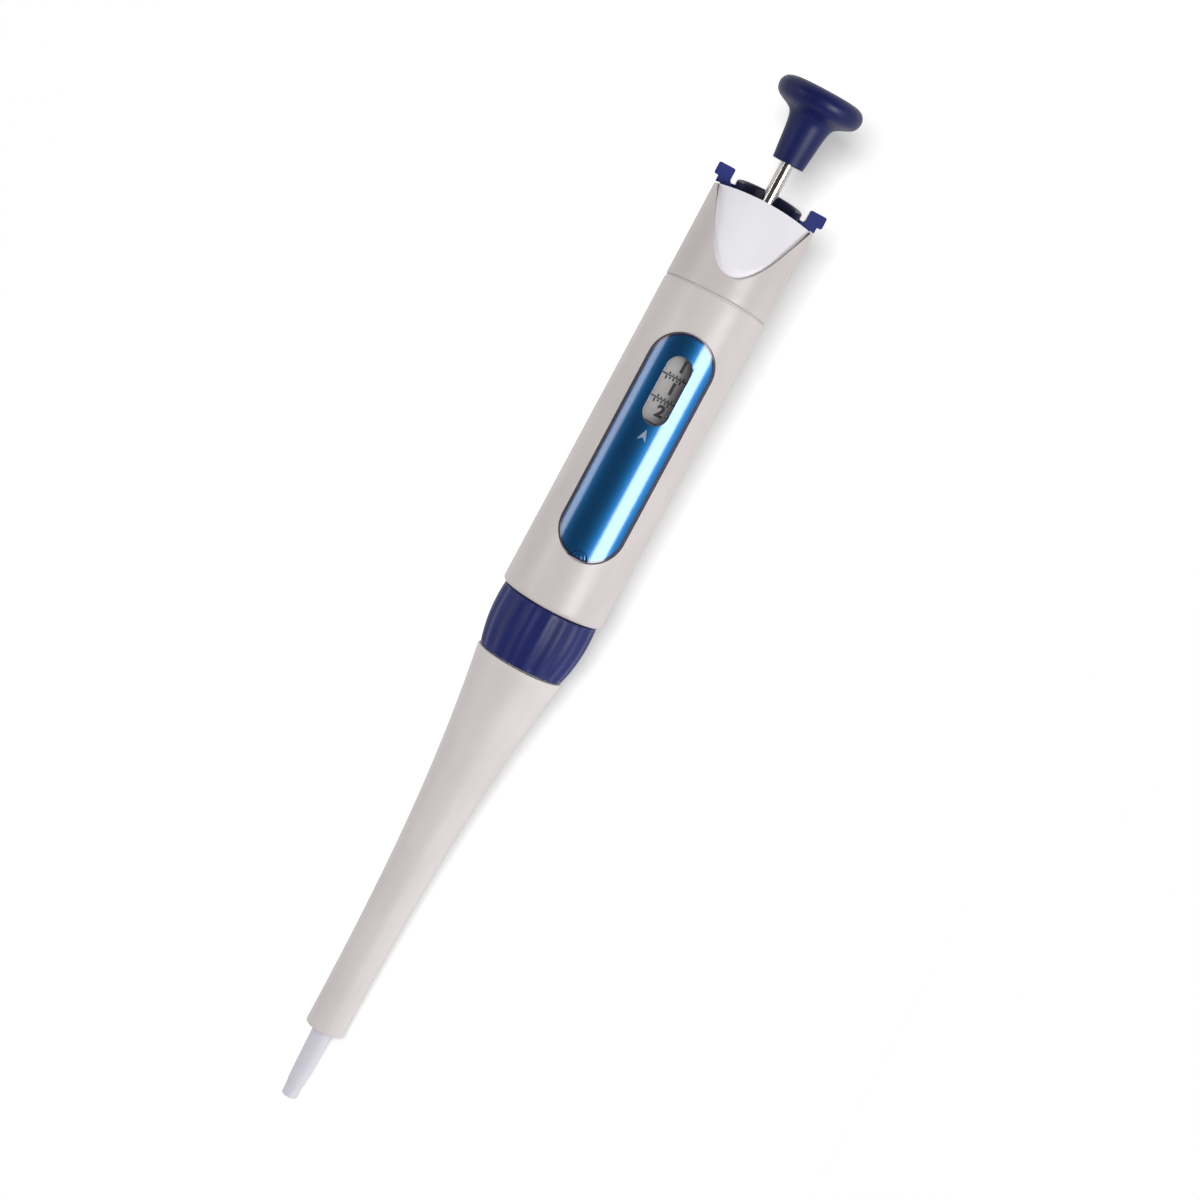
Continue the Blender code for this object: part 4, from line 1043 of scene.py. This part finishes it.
    def notch_floor(self) -> Piece:
        """The blue half-round floor that shows in the label's nail notch, with its two raised arcs."""
        reach, steps, low = 2.3 * MM, 24, self.label_low
        half, bow = 7.0 * MM, 0.36 * MM
        foot = []
        for step in range(1, steps):
            rise = bow * (reach / half) * (step / steps - 0.5)**2 * 4
            foot.append((-reach * 0.92 + 1.84 * reach * step / steps, low + rise))
        outline = at_front([*arc(reach, low, steps), *foot], -11.0 * MM)
        floor = Hands.slab("notch_floor", outline, (0, -0.2 * MM, 0))
        ribs, lift, wide = [], 0.35 * MM, 0.3 * MM
        for radius, height in ((1.55 * MM, 0.3 * MM), (0.75 * MM, 0.22 * MM)):
            outer, less = arc(radius, low + lift, steps), 1 - wide / radius
            inner = [(x * less, low + lift + (z - low - lift) * less) for x, z in reversed(outer)]
            rib = Hands.slab("notch_rib", at_front([*outer, *inner], -11.1 * MM), (0, -height, 0))
            ribs.append(Hands.soften(rib, 0.08 * MM, 50.0, 2))
        return self.curved(Hands.joined("notch_floor", [floor, *ribs]), 4.6 * MM, 0.3 * MM)

    def pointer(self) -> Piece:
        """The plain printed arrow under the window."""
        outline = [(0.0, 166.45), (1.02, 163.8), (0.0, 164.6), (-1.02, 163.8)]
        points = at_front([(x * MM, z * MM) for x, z in outline], -self.label_outer + 0.05 * MM)
        arrow = Hands.slab("arrow", points, (0, -0.065 * MM, 0))
        return self.curved(arrow, 2.2 * MM, 0.25 * MM)

    def build(self, grey: bpy.types.Material, foil: bpy.types.Material, clear: bpy.types.Material,
              pale: bpy.types.Material) -> None:
        """Makes the handle's pieces and dresses them."""
        Hands.dress(Hands.smooth(self.shell()), grey, Slot.GREY, "pipette_body", "handle_shell")
        Hands.dress(self.plate(), foil, Slot.LABEL, "pipette_body", "label_plate")
        Hands.dress(self.notch_floor(), foil, Slot.LABEL, "pipette_body")
        Hands.dress(self.pane(), clear, Slot.CLEAR, "pipette_body", "window_lens")
        Hands.dress(self.pointer(), pale, Slot.INNER, "pipette_body")


@dataclass
class Counter:
    """The three number drums, each with its ten digits and the scale on its edges."""

    radius: float = 8.0 * MM
    bore: float = 6.4 * MM
    bottom: float = 167.9 * MM
    pitch: float = 5.3 * MM
    height: float = 5.0 * MM
    spindle_hole: float = 2.9 * MM
    web: float = 0.9 * MM
    shown: tuple[int, ...] = (2, 1, 1)
    digit_middle: tuple[float, ...] = (170.75 * MM, 176.0 * MM, 181.1 * MM)
    digit_height: float = 2.75 * MM
    font_height: float = 0.78
    aside: float = 0.75 * MM
    ink: float = 0.035 * MM
    bold: float = 0.16 * MM
    ticks: tuple[float, ...] = (1.1 * MM, 0.6 * MM, 0.75 * MM, 0.6 * MM, 0.95 * MM)
    tick_pitch: float = 0.8 * MM
    tick_edge: float = 0.12 * MM

    def drum(self, number: int, name: str) -> Piece:
        """One drum, with rounded rims and, in the lowest, the web that the spindle turns."""
        low = self.bottom + number * self.pitch
        high = low + self.height
        corners = [(self.radius, high, 0.12 * MM), (self.radius, low, 0.12 * MM)]
        if number == 0:
            corners += [(self.spindle_hole, low, 0.0), (self.spindle_hole, low + self.web, 0.0)]
            corners += [(self.bore, low + self.web, 0.0), (self.bore, high, 0.1 * MM)]
        else:
            corners += [(self.bore, low, 0.1 * MM), (self.bore, high, 0.1 * MM)]
        return Hands.smooth(Hands.turned(name, rounded(corners), 120))

    def round_drum(self, angle: float) -> Callable[[Vector], Vector]:
        """A rule that wraps a flat mark on the drum and turns it round to an angle."""
        turn = Matrix.Rotation(angle, 3, "Z")

        def rule(spot: Vector) -> Vector:
            """Wraps one place by its arc length."""
            depth, bend = -spot.y, spot.x / self.radius
            return turn @ Vector((depth * math.sin(bend), -depth * math.cos(bend), spot.z))

        return rule

    def digit(self, value: int, middle: float, angle: float) -> Piece:
        """One digit in ink.

        Args:
            value: the digit.
            middle: the height of its middle.
            angle: how far round the drum it stands.

        Returns:
            The piece.
        """
        Hands.let_go()
        bpy.ops.object.text_add()
        text = bpy.context.object
        text.data.body, text.data.align_x, text.data.align_y = str(value), "CENTER", "CENTER"
        text.data.size, text.data.offset = self.digit_height / self.font_height, self.bold
        text.data.extrude, text.data.resolution_u = self.ink, 4
        bpy.ops.object.convert(target="MESH")
        piece = bpy.context.object
        piece.name = piece.data.name = f"digit_{value}"
        heights = [vertex.co.y for vertex in piece.data.vertices]
        centre = (min(heights) + max(heights)) / 2
        stand = Matrix.Translation((self.aside, -self.radius, middle)) @ Matrix.Rotation(math.pi / 2, 4, "X")
        piece.data.transform(stand @ Matrix.Translation((0, -centre, 0)))
        Hands.take(piece)
        bpy.ops.object.mode_set(mode="EDIT")
        bpy.ops.mesh.select_all(action="SELECT")
        bpy.ops.mesh.remove_doubles(threshold=1e-7)
        bpy.ops.object.mode_set(mode="OBJECT")
        Hands.sliced(piece, [self.aside + step * 0.25 * MM for step in range(-5, 6)])
        return Hands.moved(piece, self.round_drum(angle))

    def tick(self, low: float, high: float, x: float, angle: float, width: float = 0.36 * MM) -> Piece:
        """One short upright line of the scale."""
        half = width / 2
        outline = [(x + half, low), (x + half, high), (x - half, high), (x - half, low)]
        mark = Hands.slab("tick", at_front(outline, -self.radius + self.ink), (0, -2 * self.ink, 0))
        return Hands.moved(mark, self.round_drum(angle))

    def build(self, plastic: bpy.types.Material, ink: bpy.types.Material) -> None:
        """Makes the drums and their marks and dresses them."""
        names = (("units", "setting"), ("tens", "tens"), ("hundreds", "hundreds"))
        for number, (name, body) in enumerate(names):
            drum = self.drum(number, f"drum_{name}")
            Hands.dress(drum, plastic, Slot.DRUM, body, f"number_drum_{name}")
            marks = []
            low = self.bottom + number * self.pitch
            for step in range(10):
                angle = -math.tau / 10 * step
                marks.append(self.digit((self.shown[number] + step) % 10, self.digit_middle[number], angle))
                for tick, length in enumerate(self.ticks):
                    x = self.aside + (tick - 2.9) * self.tick_pitch
                    top, foot = low + self.height - self.tick_edge, low + self.tick_edge
                    if name != "hundreds":
                        marks.append(self.tick(top - length * 0.75, top, x, angle))
                    if name != "units":
                        marks.append(self.tick(foot, foot + length * 0.45, x + self.tick_pitch / 2, angle))
            joined = Hands.joined(f"marks_{name}", marks)
            Hands.dress(joined, ink, Slot.RUBBER, body)


@dataclass
class KnurledRing:
    """The navy ring, barrel shaped and fluted, that sets the sleeve's height."""

    low: float = 109.1 * MM
    high: float = 123.0 * MM
    fullest: float = 119.0 * MM
    radius: float = 11.15 * MM
    barrel: float = 0.0143 / MM
    flutes: int = 18
    depth: float = 0.36 * MM
    first: float = math.radians(-86.0)
    bore: float = 8.8 * MM
    recess: float = 9.5 * MM
    hub: float = 7.5 * MM
    lip_high: float = 121.1 * MM
    lip_low: float = 119.6 * MM
    rows: int = 18
    sides: int = 14

    def outside(self, height: float) -> float:
        """The ring's fullest radius at a height."""
        return self.radius - self.barrel * (height - self.fullest) ** 2

    def fluted(self, spot: Vector) -> Vector:
        """Sinks the flutes into the outside."""
        radius = math.hypot(spot.x, spot.y)
        if radius < self.outside(spot.z) - 0.7 * MM or radius < self.recess + 0.1 * MM:
            return spot
        share = (spot.z - self.low) / (self.high - self.low)
        angle = math.atan2(spot.y, spot.x)
        wave = 0.5 - 0.5 * math.cos(self.flutes * (angle - self.first))
        fade = min(1.0, min(share, 1.0 - share) * 14.0 + 0.35)
        scale = (radius - self.depth * wave * fade) / radius
        return Vector((spot.x * scale, spot.y * scale, spot.z))

    def build(self, navy: bpy.types.Material) -> None:
        """Makes the ring and dresses it."""
        heights = [self.high - (self.high - self.low) * row / self.rows for row in range(self.rows + 1)]
        corners = [(self.outside(z), z, 0.0) for z in heights]
        corners[0] = (*corners[0][:2], 0.3 * MM)
        corners[-1] = (*corners[-1][:2], 0.3 * MM)
        corners += [(self.bore, self.low, 0.1 * MM), (self.bore, self.lip_low, 0.0)]
        corners += [(self.hub, self.lip_low, 0.0), (self.hub, self.lip_high, 0.0)]
        corners += [(self.recess, self.lip_high, 0.0), (self.recess, self.high, 0.1 * MM)]
        ring = Hands.turned("knurled_ring", rounded(corners), self.flutes * self.sides)
        Hands.dress(Hands.smooth(Hands.moved(ring, self.fluted)), navy, Slot.NAVY, "ring", "adjust_ring")


@dataclass
class Sleeve:
    """The long tapered ejector sleeve and the neck that turns in the ring."""

    low: float = 17.1 * MM
    high: float = 108.8 * MM
    mouth: float = 4.4 * MM
    flare: float = 5.7 * MM
    power: float = 2.65
    wall: float = 1.1 * MM
    neck_bore: float = 7.5 * MM
    neck: float = 8.5 * MM
    neck_high: float = 119.1 * MM
    rows: int = 44

    def outside(self, height: float) -> float:
        """The sleeve's radius at a height."""
        share = (height - self.low) / (self.high - self.low)
        return self.mouth + self.flare * share**self.power

    def build(self, grey: bpy.types.Material) -> None:
        """Makes the sleeve and dresses it."""
        heights = [self.high - (self.high - self.low) * row / self.rows for row in range(self.rows)]
        shoulder = self.high - self.wall
        corners = [(self.outside(z), z, 0.0) for z in heights]
        corners[0] = (*corners[0][:2], 0.35 * MM)
        corners.append((self.mouth, self.low + 0.05 * MM, 0.32 * MM))
        corners.append((self.mouth - self.wall, self.low, 0.3 * MM))
        inside = [(self.outside(z) - self.wall, z) for z in reversed(heights[:-1])]
        corners += [(radius, z, 0.0) for radius, z in inside if radius < self.neck_bore and z < shoulder]
        corners += [(self.neck_bore, shoulder, 0.0), (self.neck_bore, self.neck_high, 0.1 * MM)]
        corners += [(self.neck, self.neck_high, 0.2 * MM), (self.neck, self.high, 0.1 * MM)]
        sleeve = Hands.smooth(Hands.turned("sleeve", rounded(corners), 128))
        Hands.dress(sleeve, grey, Slot.GREY, "sleeve", "ejector_sleeve")


@dataclass
class Nozzle:
    """The tip cone: the nozzle that shows, and the chamber and body that run up into the handle.

    Its two outlines hold radius, height and rounding in millimetres.
    """

    outside: tuple[Corner, ...] = (
        (5.6, 131.7, 0.2), (5.6, 94.0, 0.0), (4.35, 91.0, 0.0), (4.35, 75.2, 0.0), (3.11, 72.5, 0.0),
        (3.11, 42.0, 0.0), (2.35, 17.4, 0.0), (2.2, 12.0, 0.0), (2.05, 6.5, 0.0), (1.93, 4.2, 0.0),
        (1.93, 3.6, 0.0), (1.8, 3.2, 0.0), (1.65, 0.0, 0.35))
    inside: tuple[Corner, ...] = (
        (0.75, 0.0, 0.15), (0.55, 0.35, 0.0), (0.55, 42.0, 0.0), (2.51, 46.0, 0.0), (2.51, 75.5, 0.0),
        (3.75, 75.5, 0.0), (3.75, 84.5, 0.0), (4.6, 94.0, 0.0), (4.6, 131.7, 0.0))

    def build(self, lilac: bpy.types.Material) -> None:
        """Makes the cone and dresses it."""
        points = [(x * MM, z * MM, r * MM) for x, z, r in self.outside + self.inside]
        cone = Hands.smooth(Hands.turned("nozzle", rounded(points), 96), 28.0)
        Hands.dress(cone, lilac, Slot.LILAC, "pipette_body", "tip_cone")


@dataclass
class FingerRest:
    """The hook at the back that hangs over the index finger."""

    shape: Shape
    width: float = 13.0 * MM
    screw_height: float = 207.0 * MM
    screw_hole: float = 1.3 * MM

    def outline(self) -> list[Point]:
        """The hook seen from the side: depth behind the axis, and height."""
        corners = [(5.8, 197.95, 0.0), (14.15, 197.95, 0.9), (14.15, 205.2, 1.6), (25.0, 205.2, 1.6)]
        corners += [(25.0, 199.6, 1.5), (28.3, 199.6, 1.5), (28.3, 208.8, 4.2), (16.6, 209.4, 3.0)]
        corners += [(14.15, 212.45, 0.9), (5.8, 212.45, 0.0)]
        return [(y * MM, z * MM) for y, z in rounded([(y, z, r) for y, z, r in corners], math.radians(9))]

    def build(self, grey: bpy.types.Material) -> None:
        """Makes the hook and dresses it."""
        half = self.width / 2
        rest = Hands.slab("rest", [(-half, y, z) for y, z in self.outline()], (self.width, 0, 0))
        seat, low, high = self.shape.radius + GAP, 194 * MM, 216 * MM
        core = [(0.0, high), (seat, high), (seat, low), (0.0, low)]
        Hands.combine(rest, Hands.turned("rest_seat", core, 192, closed=False))
        hole = arc(self.screw_hole, self.screw_height, 24, turn=math.tau)[:-1]
        Hands.combine(rest, Hands.slab("rest_screw_way", at_front(hole, 7 * MM), (0, 10.05 * MM, 0)))
        Hands.even(Hands.smooth(Hands.soften(rest, 0.6 * MM, 45.0, 4)))
        Hands.dress(rest, grey, Slot.GREY, "pipette_body", "finger_rest")


@dataclass
class InnerWorks:
    """The parts inside, which keep the frame's own shapes and take real finishes."""

    plastic: tuple[str, ...] = ("seal_retainer", "cone_socket", "spring_housing", "top_bridge",
                                "counter_base", "counter_frame", "ejector_yoke", "ejector_hub", "stop_collar")
    steel: tuple[str, ...] = ("blowout_spring", "return_spring", "ejector_spring", "blowout_plate", "piston",
                              "volume_spindle", "carry_pin", "finger_rest_screw", "ejector_strip_left",
                              "ejector_strip_right")
    brass: tuple[str, ...] = ("piston_bush", "spindle_nut", "calibration_nut", "carry_pinion_lower",
                              "carry_pinion_upper")
    rubber: tuple[str, ...] = ("piston_seal",)

    def build(self, finishes: dict[str, bpy.types.Material]) -> None:
        """Gives each node its finish."""
        for kind in ("plastic", "steel", "brass", "rubber"):
            for name in getattr(self, kind):
                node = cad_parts[name]
                if not node.material_slots:
                    node.data.materials.append(finishes[kind])
                for place in node.material_slots:
                    place.material = finishes[kind]
                LOG.info("%s takes %s", name, finishes[kind].name)


@dataclass
class Studio:
    """The white table that the pipette lies on, the soft lights and the camera."""

    eye: Place = (-0.01606691, -0.60973199, 0.21246647)
    look: Place = (0.04019878, 0.98991044, -0.13587263)
    roll: float = math.radians(28.3276)
    field: float = math.radians(23.425)
    table_foot: float = 1.85 * MM
    table_slope: float = 0.1313
    table_reach: float = 1.6
    table_glow: float = 0.325
    table_sides: Point = (0.14, 0.06)
    table_ends: tuple[Point, Point] = ((-0.1, -0.03), (0.38, 0.29))
    around: float = 0.75
    ahead: float = 0.06
    dark_ahead: Point = (-0.1, -0.5)
    dark_sides: tuple[Point, Point] = ((-1.0, -0.94), (0.99, 0.9))

    def camera(self) -> None:
        """Sets the camera at the photograph's place."""
        Hands.let_go()
        bpy.ops.object.camera_add()
        camera = bpy.context.object
        camera.name = "camera"
        forward = Vector(self.look).normalized()
        level = forward.cross(Vector((0, 0, 1))).normalized()
        up = level.cross(forward)
        right = level * math.cos(self.roll) + up * math.sin(self.roll)
        top = up * math.cos(self.roll) - level * math.sin(self.roll)
        pose = Matrix((right, top, -forward)).transposed().to_4x4()
        pose.translation = Vector(self.eye)
        camera.matrix_world = pose
        camera.data.sensor_fit = "HORIZONTAL"
        camera.data.lens = camera.data.sensor_width / 2 / math.tan(self.field / 2)
        camera.data.clip_start, camera.data.clip_end = 0.01, 20.0
        bpy.context.scene.camera = camera

    def world(self) -> None:
        """A world that is white to the camera and through clear pieces, and else grey with a dark front."""
        world = bpy.data.worlds.new("studio")
        bpy.context.scene.world = world
        world.use_nodes = True
        bench = Bench("studio", world.node_tree)
        rays = bench.node("ShaderNodeLightPath")
        seen = {name: Signal(bench, rays.outputs[f"Is {name} Ray"]) for name in ("Camera", "Transmission")}
        across, depth, _ = bench.place("Generated")
        left, right = self.dark_sides
        dark = depth.rise(*self.dark_ahead) * across.rise(*left) * across.rise(*right)
        hidden = (1.0 - seen["Camera"]) * (1.0 - seen["Transmission"])
        strength = 1.0 - hidden * (1.0 - self.around + dark * (self.around - self.ahead))
        back = bench.signal("ShaderNodeBackground", {}, {"Color": (1, 1, 1, 1), "Strength": strength})
        bench.node("ShaderNodeOutputWorld", {}, {0: back})

    def table(self) -> None:
        """The white table with the pipette's soft shadow, which nothing but the camera sees from its front.

        It fades into the white round it.
        """
        wide = self.table_reach
        places = [(x, self.table_foot + self.table_slope * z, z)
                  for x, z in ((-wide, -wide), (wide, -wide), (wide, wide), (-wide, wide))]
        table = Hands.line("table", places)
        bpy.ops.mesh.edge_face_add()
        bpy.ops.object.mode_set(mode="OBJECT")
        if table.data.polygons[0].normal.y > 0:
            Hands.take(table)
            bpy.ops.object.mode_set(mode="EDIT")
            bpy.ops.mesh.select_all(action="SELECT")
            bpy.ops.mesh.flip_normals()
            bpy.ops.object.mode_set(mode="OBJECT")
        bench = Bench("table_white")
        seen = bench.signal("ShaderNodeLightPath", output="Is Camera Ray")
        behind = bench.signal("ShaderNodeNewGeometry", output="Backfacing")
        across, _, up = bench.place()
        foot, head = self.table_ends
        near = across.size().rise(*self.table_sides) * up.rise(*foot) * up.rise(*head)
        tone = bench.tint(bench.noise(0.2).rise(0.3, 0.7), (0.9, 0.9, 0.9), (0.93, 0.93, 0.93))
        matt = bench.signal("ShaderNodeBsdfDiffuse", {}, {"Color": tone})
        glow = bench.signal("ShaderNodeEmission", {}, {"Strength": self.table_glow})
        lit = bench.signal("ShaderNodeAddShader", {}, {0: matt, 1: glow})
        none = bench.signal("ShaderNodeBsdfTransparent")
        shown = seen * (1.0 - behind) * near
        both = bench.signal("ShaderNodeMixShader", {}, {0: shown, 1: none, 2: lit})
        bench.node("ShaderNodeOutputMaterial", {}, {0: both})
        table.data.materials.append(bench.material)

    def lamp(self, name: str, azimuth: float, elevation: float, distance: float, size: Point, power: float,
             on_table: bool = False, mirrored: bool = True) -> None:
        """Adds a soft rectangular lamp that faces the pipette.

        Args:
            name: the lamp's name.
            azimuth: degrees to the right of the front.
            elevation: degrees over the middle of the pipette.
            distance: metres from it.
            size: width and height.
            power: watts.
            on_table: whether it lights the table and nothing else, or all but the table.
            mirrored: whether glossy pieces show it.
        """
        turn, lift = math.radians(azimuth), math.radians(elevation)
        way = Vector((math.sin(turn) * math.cos(lift), -math.cos(turn) * math.cos(lift), math.sin(lift)))
        Hands.let_go()
        bpy.ops.object.light_add(type="AREA")
        lamp = bpy.context.object
        lamp.name = name
        lamp.data.shape = "RECTANGLE"
        lamp.data.size, lamp.data.size_y, lamp.data.energy = *size, power
        side = Vector((0, 0, 1)).cross(way).normalized()
        pose = Matrix((side, way.cross(side), way)).transposed().to_4x4()
        pose.translation = Vector((0, 0, 0.15)) + way * distance
        lamp.matrix_world = pose
        lamp.visible_camera = False
        lamp.visible_glossy = mirrored
        lit = bpy.data.collections.new(f"{name}_lights")
        lit.objects.link(bpy.data.objects["table"])
        lit.collection_objects[0].light_linking.link_state = "INCLUDE" if on_table else "EXCLUDE"
        lamp.light_linking.receiver_collection = lit

    def build(self) -> None:
        """Sets up the whole studio."""
        self.camera()
        self.world()
        self.table()
        self.lamp("key", 37.5, -4.5, 0.9, (0.45, 0.38), 5.6)
        self.lamp("left", -57.0, -4.0, 1.0, (0.24, 0.32), 0.95)
        self.lamp("side_fill", -79.0, 8.0, 1.0, (0.3, 0.9), 3.4, mirrored=False)
        self.lamp("front_fill", 12.0, 14.0, 1.0, (0.6, 0.9), 2.6, mirrored=False)
        self.lamp("shadow", -8.5, 9.0, 1.0, (0.29, 0.29), 7.2, on_table=True)
        bpy.context.scene.view_settings.view_transform = "Standard"


def main() -> None:
    """Builds the studio and the pipette, piece by piece."""
    logging.basicConfig(level=logging.INFO, format="%(name)s: %(message)s")
    shape = Shape()
    grey = Moulded("grey_shell", (0.625, 0.577, 0.568), 0.38, rubbed=(123.6 * MM, 217.9 * MM)).made()
    # the cap and the finger rest take a darker copy of the shell's grey, which is painted shade
    over = Moulded("cap_grey_painted_shade", (0.575, 0.528, 0.518), 0.38, rubbed=(198.2 * MM, 217.9 * MM)).made()
    sleeve = Moulded("sleeve_grey", (0.675, 0.63, 0.622), 0.4, rubbed=(17.3 * MM, 108.5 * MM)).made()
    pad = Moulded("pad_white", (0.87, 0.855, 0.9), 0.5, 0.03, rubbed=(217.8 * MM,)).made()
    knob = Moulded("knob_navy", (0.009, 0.0135, 0.088), 0.42, 0.2, smears=0.14, rubbed=(244.0 * MM,),
                   rub=0.04, index=1.34).made()
    ring = Moulded("ring_navy", (0.013, 0.02, 0.125), 0.46, 0.2, grain=8e-6, rubbed=(109.4 * MM, 122.7 * MM),
                   rub=0.05, index=1.38).made()
    blue = Moulded("deck_blue", (0.022, 0.034, 0.2), 0.4, 0.15, rubbed=(222.0 * MM,), rub=0.05,
                   index=1.42).made()
    dark = Moulded("collar_navy", (0.006, 0.009, 0.045), 0.45, 0.15, index=1.4).made()
    lilac = Moulded("nozzle_lilac", (0.68, 0.67, 0.73), 0.36, 0.05, depth_of_light=0.3).made()
    drum = Moulded("drum_grey", (0.72, 0.69, 0.67), 0.5, 0.08).made()
    inner = Moulded("inner_white", (0.6, 0.6, 0.58), 0.5, 0.05).made()
    rubber = Moulded("seal_black", (0.02, 0.02, 0.02), 0.6, 0.2).made()
    steel = Metal("rod_steel", (0.72, 0.69, 0.66), 0.12).made()
    plain = Metal("spring_steel", (0.55, 0.55, 0.56), 0.24, (1.0, 1.0, 8.0)).made()
    brass = Metal("turned_brass", (0.62, 0.44, 0.18), 0.25, (12.0, 12.0, 1.0)).made()
    foil = Foil("label_film", (0.003, 0.135, 0.38), (0.008, 0.012, 0.07), 14 * MM, 135.6 * MM,
                188 * MM).made()
    clear = Clear("pane_clear", (0.3, 0.32, 0.35)).made()
    ink = Ink("number_ink", (0.022, 0.018, 0.018), (0.3, 0.28, 0.27)).made()
    pale = Ink("arrow_ink", (0.24, 0.3, 0.4), (0.1, 0.18, 0.35)).made()
    Studio().build()
    ThumbKnob().build(knob)
    PlungerRod().build(steel)
    UpperCap(shape).build(over)
    ThumbPad(shape).build(pad)
    TopDeck(shape).build(blue, dark)
    Handle(shape).build(grey, foil, clear, pale)
    Counter().build(drum, ink)
    KnurledRing().build(ring)
    Sleeve().build(sleeve)
    Nozzle().build(lilac)
    FingerRest(shape).build(over)
    InnerWorks().build({"plastic": inner, "steel": plain, "brass": brass, "rubber": rubber})


if __name__ == "__main__":
    main()
